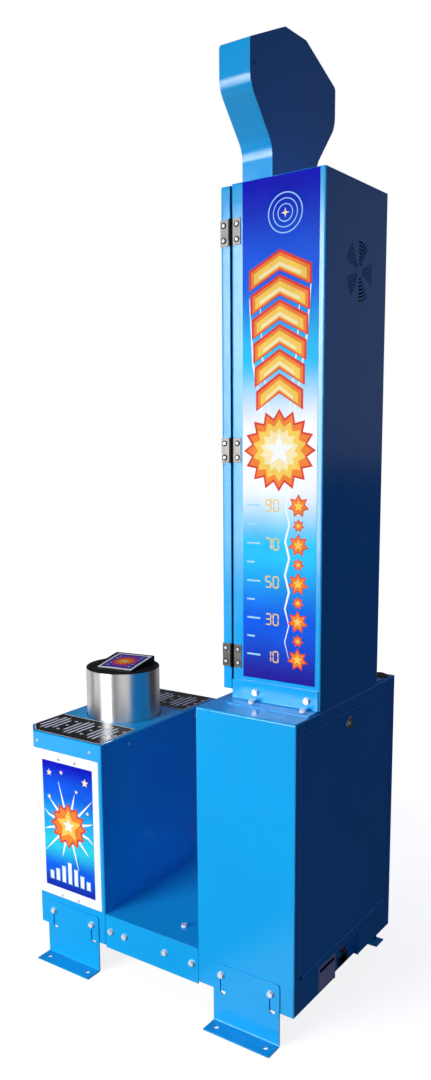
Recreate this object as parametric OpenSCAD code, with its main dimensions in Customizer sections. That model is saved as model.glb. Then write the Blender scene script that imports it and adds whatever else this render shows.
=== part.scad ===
// Hammer arcade machine: a pad cabinet with a sprung strike post, a rear
// cabinet with a display tower and a sign head, and a floor pan.
// +Z up, -Y is the player's side, origin on the floor in the middle.

/* [Cabinets] */
// Width of both cabinets
cabinet_w = 514; // [500:1:560]
// Clear height under both cabinets
ground_gap = 80; // [78:1:95]
// Depth of the rear cabinet
base_d = 255; // [252:1:300]
// Height of the rear cabinet
base_h = 674; // [560:1:760]
// Distance between the two cabinets
gap_d = 282; // [275:1:340]
// Depth of the pad cabinet over its cover
pad_d = 271; // [262:1:300]
// Corner cut of the pad cover at its front
cover_cut = 41; // [20:1:42]
// Corner cut of the pad cabinet at its front
cabinet_cut = 45; // [42:1:60]

/* [Sheet metal] */
// Thickness of the sheet steel
sheet_t = 2; // [1.5:0.1:2.5]
// Outside radius of the folded cabinet edges
fold_r = 4; // [3:0.5:6]
// Gap round every door and cover
seam = 1.5; // [1:0.1:2]

/* [Service door] */
// Strip of rear wall beside the service door
service_side = 22; // [18:1:40]
// Strip of rear wall above the service door
service_head = 28; // [22:1:32]
// Strip of rear wall below the service door
service_sill = 80; // [72:1:110]
// Depth of the folded rim of the service door
service_rim = 15; // [10:1:15]
// Depth of the folded returns of the opening
return_d = 16; // [15:0.5:16]
// Barrel radius of the long service hinge
long_knuckle_r = 3; // [2.6:0.1:3.5]
// Pin radius of the long service hinge
long_pin_r = 1.2; // [1:0.1:1.5]
// Leaf thickness of the long service hinge
long_leaf_t = 1.2; // [1:0.1:1.4]
// Number of barrels of the long service hinge
long_knuckles = 9; // [5:2:13]

/* [Locks] */
// Radius of the lock flange
lock_flange_r = 14; // [12:0.5:16]
// Thickness of the lock flange
lock_flange_t = 2.5; // [2:0.1:4]
// Radius of the lock barrel
lock_barrel_r = 9.4; // [8.5:0.1:10]
// Radius of the turning plug
plug_r = 6; // [5:0.1:7]
// Thickness of the cams
cam_t = 3; // [2:0.1:3.5]
// Width of the cams
cam_w = 13; // [12:0.5:15]
// Distance of the service lock under the rear cabinet's top
service_lock_drop = 59; // [56:1:75]

/* [Tower] */
// Width of the tower
tower_w = 300; // [290:1:320]
// Depth of the tower cabinet without its door
tower_d = 222; // [215:1:228]
// Height of the tower cabinet
tower_h = 1125; // [1090:1:1200]
// Width of the frame round the tower's door opening
tower_frame = 20; // [18:1:22]
// Depth of the tower door
door_t = 24; // [20:1:27]
// Gap between the tower door and the tower
door_gap = 4; // [2.5:0.1:5]
// Height of the tower door's foot over the rear cabinet
door_rise = 21; // [19:1:40]
// Outside radius of the door's folded edges
door_r = 6; // [4:0.5:8]

/* [Vent and fan] */
// Sideways place of the vent
vent_x = -8; // [-30:1:30]
// Distance of the vent's middle under the tower's top
vent_drop = 184; // [120:1:300]
// Radius of the smallest vent arc
vent_r0 = 16; // [14:0.5:20]
// Step from one vent arc to the next
vent_step = 7.4; // [6.5:0.1:7.5]
// Number of arcs in each vent blade
vent_arcs = 7; // [5:1:7]
// Number of vent blades
vent_blades = 5; // [4:1:6]
// Width of a vent slot
vent_slot = 3.4; // [2.5:0.1:3.8]
// Opening angle of a vent blade
vent_angle = 42; // [30:1:44]
// Side of the square fan frame
fan_side = 120; // [118:1:124]
// Depth of the fan frame
fan_depth = 25; // [24:0.5:32]
// Number of fan blades
fan_blades = 7; // [5:1:9]
// Pitch of the fan blades
fan_pitch = 38; // [30:1:45]

/* [Tower feet and hinges] */
// Height of the angle's upright leg
angle_up = 48; // [40:1:50]
// Width of the angle's flat leg
angle_out = 45; // [36:1:50]
// Thickness of the angle
angle_t = 3; // [2.5:0.1:4]
// Distance of the angle's rear end from the tower's back
angle_back = 4; // [2:1:8]
// Height of a tower hinge
hinge_h = 54; // [48:1:60]
// Width of one hinge leaf from the pin's axis
hinge_leaf = 25; // [22:0.5:26]
// Thickness of a hinge leaf
leaf_t = 2; // [1.5:0.1:2.2]
// Barrel radius of the tower hinges
knuckle_r = 3.5; // [3.2:0.1:3.9]
// Pin radius of the tower hinges
pin_r = 1.5; // [1.2:0.1:1.9]
// Middle of each hinge over the tower's foot
hinge_z = [102, 567, 1027];

/* [Door fittings] */
// Width of the score window
score_w = 190; // [170:1:200]
// Height of the score window
score_h = 104; // [96:1:110]
// Distance of the score window's middle under the tower's top
score_drop = 180; // [150:1:200]
// Width of the light window
light_w = 60; // [50:1:70]
// Height of the light window
light_h = 480; // [440:1:500]
// Distance of the light window's middle under the tower's top
light_drop = 548; // [520:1:580]
// Number of lamps in the light window
lamp_count = 12; // [8:1:12]
// Radius of a lamp
lamp_r = 9; // [6:0.5:10]
// Thickness of the window sheets
window_t = 3; // [2:0.1:4]
// Width of the coin plate
coin_w = 64; // [60:1:68]
// Height of the coin plate
coin_h = 126; // [124:1:132]
// Sideways place of the coin plate
coin_x = 52; // [48:1:58]
// Height of the coin plate's middle over the tower's foot
coin_z = 212; // [206:1:225]
// Radius of the start button's bezel
bezel_r = 30; // [27:0.5:33]
// Sideways place of the start button
button_x = -52; // [-60:1:-48]
// Travel of the start button
button_travel = 4; // [2:0.5:5]
// Radius of the loudspeaker
speaker_r = 46; // [40:1:48]
// Height of the loudspeaker's middle over the tower's foot
speaker_z = 82; // [78:1:88]

/* [Head] */
// Width of the head
head_w = 377; // [360:1:400]
// Width of the head's flat top
head_top_w = 93; // [70:1:120]
// Width of the head's neck
neck_w = 197; // [180:1:220]
// Height of the neck
neck_h = 74; // [60:1:90]
// Height of the taper over the neck
taper_h = 102; // [80:1:120]
// Height of the head's upright sides
head_side_h = 84; // [60:1:110]
// Height of the sloping shoulders
shoulder_h = 61; // [40:1:80]
// Thickness of the head from front to back
head_t = 74; // [60:1:90]
// Distance of the head's front before the tower cabinet
head_front = 4; // [0:0.5:5]
// Radius of the bends at the head's shoulders and top
head_r = 12; // [6:1:20]
// Radius of the wide bends at both ends of the taper
taper_r = 60; // [30:1:70]

/* [Strike post] */
// Radius of the strike post
post_r = 100; // [97:1:103]
// Wall of the strike post's tube
post_wall = 4; // [3:0.5:6]
// Height of the strike post over the pad cover
post_h = 133; // [110:1:150]
// Length of the post's tube under the pad cover
post_sunk = 89; // [60:1:95]
// Travel of the strike post
post_travel = 25; // [10:1:30]
// Gap between the post and the hole in the cover
post_gap = 2; // [2:0.5:6]
// Running clearance of sliding and turning fits
running = 0.06; // [0.03:0.01:0.09]
// Thickness of the rubber cap's lip over the tube
cap_lip = 1.5; // [1.5:0.5:5]
// Rise of the wedge on the rubber cap
wedge_rise = 17; // [12:0.5:26]
// Length of the wedge's slope
wedge_run = 137; // [120:1:140]
// Width of the wedge
wedge_w = 120; // [118:1:126]
// Radius of the guide shaft
shaft_r = 15; // [12:0.5:20]
// Wall of the guide bushes
bush_wall = 5; // [4:0.5:8]
// Wire radius of the return spring
wire_r = 3; // [2.5:0.1:3.5]
// Middle radius of the return spring's coil
coil_r = 36; // [30:0.5:40]
// Turns of the return spring
coil_turns = 8; // [6:1:9]
// Length of the return spring at rest
spring_l = 90; // [80:1:110]

/* [Feet and floor] */
// Length of a foot bracket
foot_len = 175; // [165:1:190]
// Width of a foot bracket's flange
foot_out = 49; // [40:1:60]
// Height of a foot bracket
foot_h = 150; // [140:1:154]
// Thickness of the foot brackets
foot_t = 3; // [2.5:0.1:5]
// Distance between the two bolts of a foot bracket
foot_pitch = 131; // [110:1:140]
// Height of the foot bolts over the floor
foot_bolt_z = 124; // [112:1:130]
// Length of the slot under a foot bolt
foot_slot = 42; // [30:1:60]
// Radius of the floor bolt holes
floor_hole_r = 5.5; // [4.5:0.1:7]
// Distance of the floor bolt holes from the cabinet's side
floor_hole_out = 25; // [20:0.5:28]
// Distance of the rear bracket behind the rear cabinet's front
rear_foot = 133; // [122:1:140]
// Distance of the front bracket behind the pad cover's front
front_foot = 160; // [148:1:166]
// Height of the floor pan's top over the floor
pan_z = 164; // [150:1:175]
// Height of the floor pan's lower edge over the floor
pan_low = 74; // [65:1:78]

/* [Fasteners and plates] */
// Shank radius of the hexagon bolts
bolt_r = 4; // [3:0.5:4.5]
// Shank radius of the small screws
screw_r = 2; // [1.5:0.1:2.5]
// Head radius of the small screws
screw_head_r = 4; // [3:0.1:5]
// Thickness of pictures and plates
print_t = 1; // [0.8:0.1:1.5]
// Width of the posters
poster_w = 210; // [190:1:211]
// Height of the posters
poster_h = 397; // [340:1:397]
// Height of the posters over the cabinet's lower edge
poster_rise = 87; // [84:1:100]
// Gap between the posters and the skirt over them
poster_drop = 1; // [1:1:40]
// Height of the pad cover's skirt
skirt_h = 44; // [30:1:44]

/* [Power inlet] */
// Sideways place of the power pocket
pocket_x = -8; // [-40:1:30]
// Width of the power pocket
pocket_w = 130; // [110:1:140]
// Height of the power pocket
pocket_h = 62; // [60:1:70]
// Depth of the power pocket
pocket_d = 12; // [9:0.5:20]

/* [Hidden] */
$fn = 48;

// Clearances of fixed fits and of passing parts, and the reach of cuts
fit = 0.1;
pass = 0.3;
cut = 1;
cover_fit = 0.5;

// Fasteners
washer_r = 2 * bolt_r;
washer_t = 1.6;
hex_r = 1.87 * bolt_r;
hex_h = 5.3;
nut_h = 6.5;
screw_head_h = 2.2;
screw_l = 8;

// Places of the main bodies
plug_proud = 1;
rear_out = lock_flange_t + plug_proud;
total_d = base_d + gap_d + pad_d;
back_y = (total_d - rear_out) / 2;
front_y = back_y - total_d;
base_y = back_y - base_d;
pad_back = base_y - gap_d;
side_x = cabinet_w / 2;
base_top = ground_gap + base_h;
pad_top = ground_gap + poster_rise + poster_h + poster_drop + skirt_h;
tower_top = base_top + tower_h;
tower_x = tower_w / 2;
body_y = back_y - tower_d;
door_in = body_y - door_gap;
door_out = door_in - door_t;
door_z0 = base_top + door_rise;
door_z1 = tower_top - 2;

// Service door opening
open_x = side_x - service_side;
open_z0 = ground_gap + service_sill;
open_z1 = base_top - service_head;
lip = 12;
long_gap = long_knuckle_r + pass;
long_axis_y = back_y - 1;
long_axis_z = open_z0 + long_gap;
long_l = 2 * open_x - 30;
long_leaf = 11;
service_lock_z = base_top - service_lock_drop;
service_barrel_l = return_d + sheet_t + pass;
service_cam_l = service_lock_drop - service_head - 2;

// Tower door and its lock
tower_open_x = tower_x - tower_frame;
hinge_x = tower_x + knuckle_r;
hinge_y = door_in + door_gap / 2;
tower_barrel_l = door_t + door_gap + sheet_t + pass;
tower_lock_x = -tower_open_x + lock_barrel_r + 4;
tower_lock_z = base_top + tower_h / 2;
tower_cam_l = lock_barrel_r + 4 + 12;
leaf_screw_y = 16.5;
leaf_screw_z = 15.5;

// Tower foot angles
angle_l = tower_d - angle_back;
angle_bolts = [body_y + 62, body_y + 192];
angle_bolt_z = base_top + angle_up / 2;
angle_bolt_x = tower_x + angle_out / 2 - 2;

// Door fittings
score_z = tower_top - score_drop;
light_z = tower_top - light_drop;
window_edge = 8;
board_t = 1.6;
board_drop = 12;
skin_y = door_out + sheet_t;
board_y = skin_y + window_t + board_drop;
coin_mid = base_top + coin_z;
coin_edge = 6;
cup_w = 44;
cup_h = 38;
cup_d = 44;
cup_t = 1.5;
cup_z = coin_mid - coin_h / 2 + coin_edge + cup_h / 2 + 2;
flap_pin_r = 1.2;
flap_axis_z = cup_z + cup_h / 2 - cup_t - 3;
flap_axis_y = door_out + 2;
mech_w = 46;
mech_d = 62;
mech_z0 = cup_z + cup_h / 2 + 2;
mech_z1 = coin_mid + coin_h / 2 - coin_edge - 1;
slot_w = 4;
slot_h = 28;
slot_x = coin_x - 11;
slot_z = coin_mid + 32;
reject_x = coin_x + 11;
reject_r = 7;
reject_travel = 4;
button_body_r = bezel_r - 5;
plunger_r = button_body_r - 4;
button_out = 6;
button_in = 12;
button_floor = button_in + button_travel + 5;
speaker_mid = base_top + speaker_z;

// Vent and fan
vent_z = tower_top - vent_drop;
fan_y = back_y - sheet_t;
fan_bore = fan_side / 2 - 3;
fan_hub = 19;
fan_pin_r = 2;
fan_tip = fan_bore - 1.5;
fan_hole = fan_side / 2 - 7.5;

// Head
head_y0 = body_y - head_front;
head_y1 = head_y0 + head_t;
head_h = neck_h + taper_h + head_side_h + shoulder_h;
head_panel_y = head_y0 + 40;
head_screw = [head_w / 2 - 17, neck_h + taper_h + 42];

// Pad cabinet, its cover and the strike post
cover_out = sheet_t + cover_fit;
pad_y0 = front_y + cover_out;
pad_y1 = pad_back - cover_out;
cover_x = side_x + cover_out;
post_y = (front_y + pad_back) / 2;
hole_r = post_r + post_gap;
pad_rim = 18;
collar_h = 9;
post_z0 = pad_top - post_sunk;
tube_top = pad_top + post_h - cap_lip;
plug_h = 15;
post_plate_t = 8;
cap_plate_t = 6;
wedge_toe = 65;
wedge_toe_h = 3;
wedge_turn = 9;
plate_len = 118;
plate_wid = 105;
guide_z = post_z0 - spring_l;
guide_plate_t = 8;
guide_plate_r = post_r - 8;
guide_bore = shaft_r + bush_wall + 0.05;
guide_tube_r = guide_bore + 6;
bush_l = 30;
low_bush_z = guide_z - 170;
collar_l = 15;
buffer_r = 16;
buffer_ring = 70;
buffer_h = spring_l - post_travel - pass;
floor_z = ground_gap + sheet_t;
poster_z0 = ground_gap + poster_rise;
poster_y = pad_y1 - 10 - poster_w / 2;
rule_in = hole_r + 3;
rule_edge = 2;
cover_screw_z = pad_top - 24;
cover_screw_x = side_x - 108;
cover_screw_y = [pad_y0 + cabinet_cut + 8.5, pad_back - 37];

// Feet and floor pan
foot_y = [front_y + front_foot, base_y + rear_foot];
pan_x = side_x - 1.5;
rail_t = 5;
rail_h = 60;
pan_bolt_y = [pad_y1 + 17, pad_y1 + 62, base_y - 98, base_y - 18];
pan_bolt_z = pan_z - 42;
pan_top_bolt = [side_x - 67, base_y - 86];

bends = [for (i = [0 : 5]) fold_r];
blue = "#1f78d0";
steel = "#c9ced3";
black = "#1b1c1f";

// Corner points of the pad outline, anticlockwise
function pad_points(x, y0, y1, c) =
    [[-x, y1], [-x, y0 + c], [-x + c, y0], [x - c, y0], [x, y0 + c], [x, y1]];

// Unit vector of a plane vector
function unit(v) = v / norm(v);
function left(v) = [-v[1], v[0]];
function angle(a, b) = acos(max(-1, min(1, a * b)));

// Anticlockwise outline moved inwards by d
function inset(p, d) = [
    for (i = [0 : len(p) - 1])
        let (m = len(p))
        let (a = left(unit(p[i] - p[(i + m - 1) % m])))
        let (b = left(unit(p[(i + 1) % m] - p[i])))
        p[i] + d * (a + b) / (1 + a * b)
];

// Outline with each corner turned into an arc of radius r[i]
function bend(p, r, n = 6) = [
    for (i = [0 : len(p) - 1])
        let (m = len(p))
        let (a = unit(p[(i + m - 1) % m] - p[i]))
        let (b = unit(p[(i + 1) % m] - p[i]))
        let (f = angle(a, b))
        let (c = p[i] + unit(a + b) * r[i] / sin(f / 2))
        let (u = unit(p[i] + a * r[i] / tan(f / 2) - c))
        let (v = unit(p[i] + b * r[i] / tan(f / 2) - c))
        let (w = 180 - f)
        for (k = [0 : n])
            c + r[i] * (sin(w * (1 - k / n)) * u + sin(w * k / n) * v) / sin(w)
];

head_points = [
    [-neck_w / 2, 0],
    [neck_w / 2, 0],
    [neck_w / 2, neck_h],
    [head_w / 2, neck_h + taper_h],
    [head_w / 2, neck_h + taper_h + head_side_h],
    [head_top_w / 2, head_h],
    [-head_top_w / 2, head_h],
    [-head_w / 2, neck_h + taper_h + head_side_h],
    [-head_w / 2, neck_h + taper_h],
    [-neck_w / 2, neck_h]
];

module rounded_rect(w, d, r) {
    square([w - 2 * r, d], center = true);
    square([w, d - 2 * r], center = true);
    for (sx = [-1, 1], sy = [-1, 1])
        translate([sx * (w / 2 - r), sy * (d / 2 - r)])
            circle(r);
}

// A profile in X and Z, drawn from y towards the front
module front_cut(y, h) {
    translate([0, y, 0])
        rotate([90, 0, 0])
            linear_extrude(h)
                children();
}

// A profile in Y and Z, drawn from x towards +X
module side_cut(x, h) {
    translate([x, 0, 0])
        rotate([90, 0, 90])
            linear_extrude(h)
                children();
}

// A box with all its edges folded to the radius r
module folded_box(w, d, h, r) {
    intersection() {
        translate([0, d / 2, 0])
            linear_extrude(h)
                rounded_rect(w, d, r);
        translate([0, 0, h / 2])
            front_cut(d, d)
                rounded_rect(w, h, r);
        translate([0, d / 2, h / 2])
            side_cut(-w / 2, w)
                rounded_rect(d, h, r);
    }
}

// A door pan with its face at y = 0 and its rim towards -Y
module door_pan(w, h, d, t, r) {
    difference() {
        translate([0, -2 * d, 0])
            folded_box(w, 2 * d, h, r);
        translate([-w / 2 - cut, -2 * d - cut, -cut])
            cube([w + 2 * cut, d + cut, h + 2 * cut]);
        translate([0, -2 * d - t, t])
            folded_box(w - 2 * t, 2 * d, h - 2 * t, r - t);
    }
}

// A centred plate in X and Y
module flat(w, d, h) {
    translate([-w / 2, -d / 2, 0])
        cube([w, d, h]);
}

module corner_square(w, h, r) {
    translate([r, 0])
        square([w - r, h]);
    translate([0, r])
        square([w, h - r]);
    translate([r, r])
        circle(r);
}

module angle_profile(out, up, t) {
    difference() {
        corner_square(out, up, 2 * t);
        translate([t, t])
            corner_square(out, up, t);
    }
}

// A hexagon bolt along -Z: washer on z = 0, nut behind the grip
module hex_bolt(grip) {
    cylinder(h = washer_t, r = washer_r);
    translate([0, 0, washer_t])
        cylinder(h = hex_h, r = hex_r, $fn = 6);
    translate([0, 0, -grip - nut_h - 2])
        cylinder(h = grip + nut_h + 3, r = bolt_r);
    translate([0, 0, -grip - nut_h])
        cylinder(h = nut_h, r = hex_r, $fn = 6);
}

// A pan head screw along -Z with its head on z = 0
module screw(l = screw_l) {
    cylinder(h = screw_head_h - 0.8, r = screw_head_r);
    translate([0, 0, screw_head_h - 0.8])
        cylinder(h = 0.8, r1 = screw_head_r, r2 = screw_head_r - 0.8);
    translate([0, 0, -l])
        cylinder(h = l + 0.5, r = screw_r);
}

// Turn +Z towards +X, -X, -Y or +Y
module to_px() rotate([0, 90, 0]) children();
module to_mx() rotate([0, -90, 0]) children();
module to_my() rotate([90, 0, 0]) children();
module to_py() rotate([-90, 0, 0]) children();

// Cam lock along +Z: flange on z = 0, barrel of length l, turning plug and cam
module lock_body(l) {
    difference() {
        union() {
            cylinder(h = lock_flange_t - 0.8, r = lock_flange_r);
            translate([0, 0, lock_flange_t - 0.8])
                cylinder(h = 0.8, r1 = lock_flange_r, r2 = lock_flange_r - 1.2);
            translate([0, 0, -l])
                cylinder(h = l + 0.5, r = lock_barrel_r);
            translate([0, 0, -sheet_t - 4])
                cylinder(h = 4, r = lock_flange_r, $fn = 6);
        }
        translate([0, 0, -l - cut])
            cylinder(h = l + lock_flange_t + 2 * cut, r = plug_r + running);
    }
}

module lock_cam(l, reach) {
    difference() {
        translate([0, 0, -l - pass])
            cylinder(h = l + pass + rear_out, r = plug_r);
        translate([-0.75, -plug_r * 0.7, rear_out - 3])
            cube([1.5, plug_r * 1.4, 3 + cut]);
    }
    translate([0, 0, -l - pass - cam_t]) {
        cylinder(h = cam_t, r = cam_w / 2);
        translate([-reach, -cam_w / 2, 0])
            cube([reach, cam_w, cam_t]);
        translate([0, 0, -4])
            cylinder(h = 4.5, r = plug_r - 1, $fn = 6);
    }
}

module bolt_holes_x(z, ys) {
    for (y = ys)
        translate([-side_x - 10, y, z])
            to_px()
                cylinder(h = cabinet_w + 20, r = bolt_r + fit);
}

module base_cabinet() {
    depth = return_d + sheet_t;
    color(blue)
        difference() {
            union() {
                difference() {
                    translate([0, base_y, ground_gap])
                        folded_box(cabinet_w, base_d, base_h, fold_r);
                    translate([sheet_t - side_x, base_y + sheet_t, floor_z])
                        cube([cabinet_w - 2 * sheet_t, base_d - 2 * sheet_t, base_h - 2 * sheet_t]);
                }
                translate([-open_x - sheet_t, back_y - depth, open_z0 - sheet_t])
                    cube([2 * (open_x + sheet_t), depth - 1, open_z1 - open_z0 + 2 * sheet_t]);
            }
            translate([-open_x, back_y - return_d, open_z0])
                cube([2 * open_x, return_d + cut, open_z1 - open_z0]);
            translate([lip - open_x, back_y - depth - cut, open_z0])
                cube([2 * (open_x - lip), depth, open_z1 - open_z0 - lip]);
            translate([pocket_x - pocket_w / 2, back_y - pocket_d - sheet_t, ground_gap - cut])
                cube([pocket_w, pocket_d + sheet_t + cut, pocket_h + cut]);
            translate([0, body_y + tower_d / 2, base_top - sheet_t - cut])
                flat(100, 50, sheet_t + 2 * cut);
            for (sx = [-1, 1], y = angle_bolts)
                translate([sx * angle_bolt_x, y, base_top - sheet_t - cut])
                    cylinder(h = sheet_t + 2 * cut, r = bolt_r + fit);
            bolt_holes_x(foot_bolt_z, [foot_y[1] - foot_pitch / 2, foot_y[1] + foot_pitch / 2]);
        }
}

module service_door() {
    z0 = open_z0 + 2 * long_gap;
    color(blue)
        difference() {
            translate([0, back_y, z0])
                door_pan(2 * (open_x - seam), open_z1 - seam - z0, service_rim, sheet_t, 2.5);
            translate([0, back_y + cut, service_lock_z])
                to_my()
                    cylinder(h = sheet_t + 2 * cut, r = lock_barrel_r + fit);
        }
}

// Barrels and leaf of the long hinge, first = 0 for the fixed leaf
module long_hinge(first) {
    step = long_l / long_knuckles;
    up = first == 0 ? -1 : 1;
    z = first == 0 ? -long_gap : long_gap - long_leaf_t;
    translate([0, long_axis_y, long_axis_z])
        difference() {
            union() {
                difference() {
                    translate([-long_l / 2, -long_leaf, z])
                        cube([long_l, long_leaf, long_leaf_t]);
                    for (i = [0 : long_knuckles - 1])
                        if (i % 2 != first)
                            translate([i * step - long_l / 2 - pass, -long_gap - 0.2, -long_gap - cut])
                                cube([step + 2 * pass, 2 * long_gap, 2 * long_gap + 2 * cut]);
                }
                for (i = [first : 2 : long_knuckles - 1])
                    translate([i * step - long_l / 2 + (i == 0 ? 0 : pass), 0, 0]) {
                        to_px()
                            cylinder(h = step - pass - (i == 0 ? 0 : pass), r = long_knuckle_r);
                        translate([0, -1.5, up > 0 ? 1 : -long_gap])
                            cube([step - pass - (i == 0 ? 0 : pass), 1.5, long_gap - 1]);
                    }
            }
            translate([-long_l / 2 - cut, 0, 0])
                to_px()
                    cylinder(h = long_l + 2 * cut, r = long_pin_r + running);
        }
}

module service_hinge_leaf() {
    color(steel)
        long_hinge(0);
}

module service_door_leaf() {
    color(steel)
        long_hinge(1);
}

module service_lock_body() {
    color(steel)
        translate([0, back_y, service_lock_z])
            to_py()
                lock_body(service_barrel_l);
}

module service_lock_cam() {
    color("#e4dfc8")
        translate([0, back_y, service_lock_z])
            to_py()
                lock_cam(service_barrel_l, service_cam_l);
}

module power_pocket() {
    color(blue)
        translate([pocket_x, back_y, ground_gap])
            difference() {
                translate([fit - pocket_w / 2, fit - pocket_d - sheet_t, 0])
                    cube([pocket_w - 2 * fit, pocket_d + sheet_t - fit, pocket_h - fit]);
                translate([sheet_t - pocket_w / 2, -pocket_d, -cut])
                    cube([pocket_w - 2 * sheet_t, pocket_d + cut, pocket_h + cut - sheet_t]);
                translate([0, cut - pocket_d, inlet_up])
                    front_cut(0, sheet_t + 2 * cut)
                        square([inlet_w + fit, inlet_h + fit], center = true);
                translate([0, cut - pocket_d, switch_up])
                    to_my()
                        cylinder(h = sheet_t + 2 * cut, r = switch_r + fit);
            }
}

inlet_up = 16;
inlet_w = 28;
inlet_h = 20;
inlet_deep = 22;
inlet_flange = 1.6;
switch_up = 44;
switch_r = 10;
switch_deep = 16;
rocker_r = 8;

module power_inlet() {
    color(black)
        translate([pocket_x, back_y - pocket_d, ground_gap + inlet_up])
            difference() {
                union() {
                    front_cut(inlet_flange, inlet_flange)
                        rounded_rect(48, 24, 3);
                    front_cut(0.5, inlet_deep)
                        square([inlet_w, inlet_h], center = true);
                }
                front_cut(inlet_flange + cut, 18 + inlet_flange + cut)
                    rounded_rect(inlet_w - 4, inlet_h - 4, 2);
            }
}

module inlet_pins() {
    color("#c9a54a")
        translate([pocket_x, back_y - pocket_d - 18, ground_gap + inlet_up])
            for (p = [[0, 3], [-7, -3], [7, -3]])
                translate([p[0] - 1, 0, p[1] - 2])
                    cube([2, 12, 4]);
}

module switch_bezel() {
    color(black)
        translate([pocket_x, back_y - pocket_d, ground_gap + switch_up])
            difference() {
                union() {
                    to_py()
                        cylinder(h = 2, r = switch_r + 1.8);
                    translate([0, 0.5, 0])
                        to_my()
                            cylinder(h = switch_deep, r = switch_r);
                }
                translate([0, 2 + cut, 0])
                    to_my()
                        cylinder(h = 12 + cut, r = rocker_r + 1);
                translate([-switch_r + 0.6, -3, 0])
                    to_px()
                        cylinder(h = 2 * switch_r - 1.2, r = 1 + running);
            }
}

module switch_rocker() {
    color("#e0281e")
        translate([pocket_x, back_y - pocket_d - 3, ground_gap + switch_up])
            rotate([-8, 0, 0]) {
                intersection() {
                    side_cut(-rocker_r, 2 * rocker_r)
                        polygon([[-3, -9], [5.4, -9], [4, 0], [5.4, 9], [-3, 9]]);
                    translate([0, 9, 0])
                        to_my()
                            cylinder(h = 18, r = rocker_r);
                }
                translate([-switch_r + 0.9, 0, 0])
                    to_px()
                        cylinder(h = 2 * switch_r - 1.8, r = 1);
            }
}

module power_supply() {
    color("#9aa0a6")
        translate([60, base_y + 60, floor_z])
            flat(200, 98, 48);
}

module rating_label() {
    color("#b9bdc2")
        translate([56, back_y, 86])
            cube([84, 0.3, 61]);
}

module tether_anchor() {
    r = 25;
    h = 9;
    ball = (r * r + h * h) / (2 * h);
    color("#5a5230")
        translate([-tower_x - angle_out - r - 5, back_y - r - 3, base_top])
            intersection() {
                translate([0, 0, h - ball])
                    sphere(ball, $fn = 64);
                cylinder(h = h + cut, r = r + cut);
            }
}

module tower_cabinet() {
    color(blue)
        difference() {
            translate([0, body_y, base_top])
                folded_box(tower_w, tower_d, tower_h, fold_r);
            translate([sheet_t - tower_x, body_y + sheet_t, base_top + sheet_t])
                cube([tower_w - 2 * sheet_t, tower_d - 2 * sheet_t, tower_h - 2 * sheet_t]);
            translate([-tower_open_x, body_y - cut, base_top + tower_frame])
                cube([2 * tower_open_x, sheet_t + 2 * cut, tower_h - 2 * tower_frame]);
            translate([fold_r - tower_x, back_y - sheet_t - cut, base_top + fold_r])
                cube([tower_w - 2 * fold_r, sheet_t + 2 * cut, tower_h - 2 * fold_r]);
            translate([0, body_y + tower_d / 2, base_top - cut])
                flat(100, 50, sheet_t + 2 * cut);
            translate([0, head_y0 + head_t / 2, tower_top - sheet_t - cut])
                flat(60, 30, sheet_t + 2 * cut);
            for (y = angle_bolts)
                translate([-tower_x - cut, y, angle_bolt_z])
                    to_px()
                        cylinder(h = tower_w + 2 * cut, r = bolt_r + fit);
            for (z = hinge_z, sz = [-1, 1])
                translate([tower_x - 5, hinge_y + leaf_screw_y, base_top + z + sz * leaf_screw_z])
                    to_px()
                        cylinder(h = 6, r = screw_r + fit);
        }
}

// Rear wall of the tower, its vent in blades of concentric slots
module tower_back() {
    color(blue)
        difference() {
            translate([0, back_y, base_top + fold_r + fit])
                front_cut(0, sheet_t)
                    translate([0, (tower_h - 2 * fold_r) / 2 - fit])
                        square([tower_w - 2 * (fold_r + fit), tower_h - 2 * (fold_r + fit)], center = true);
            translate([vent_x, back_y + cut, vent_z])
                front_cut(0, sheet_t + 2 * cut)
                    for (b = [0 : vent_blades - 1], k = [0 : vent_arcs - 1])
                        rotate(180 + b * 360 / vent_blades)
                            vent_slot_shape(vent_r0 + k * vent_step);
        }
}

module vent_slot_shape(r) {
    a = vent_angle / 2;
    intersection() {
        difference() {
            circle(r + vent_slot / 2);
            circle(r - vent_slot / 2);
        }
        polygon([[0, 0], 2 * r * [cos(a), -sin(a)], [3 * r, 0], 2 * r * [cos(a), sin(a)]]);
    }
}

module foot_angle() {
    c = 12;
    difference() {
        translate([tower_x, body_y + angle_l, base_top])
            front_cut(0, angle_l)
                angle_profile(angle_out, angle_up, angle_t);
        translate([tower_x + angle_out, body_y, base_top - cut])
            rotate([0, 0, 45])
                flat(c * 1.42, c * 1.42, angle_t + 2 * cut);
        for (y = angle_bolts) {
            translate([angle_bolt_x, y, base_top - cut])
                cylinder(h = angle_t + 2 * cut, r = bolt_r + fit);
            translate([tower_x - cut, y, angle_bolt_z])
                to_px()
                    cylinder(h = angle_t + 2 * cut, r = bolt_r + fit);
        }
    }
}

module tower_foot_angles() {
    color(blue) {
        foot_angle();
        mirror([1, 0, 0])
            foot_angle();
    }
}

module tower_pictures() {
    z0 = base_top + 57;
    color("#3a8fe0")
        for (x = [-tower_x - print_t, tower_x])
            translate([x, body_y + 28, z0])
                cube([print_t, tower_d - 41, tower_top - 2 - z0]);
}

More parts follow.
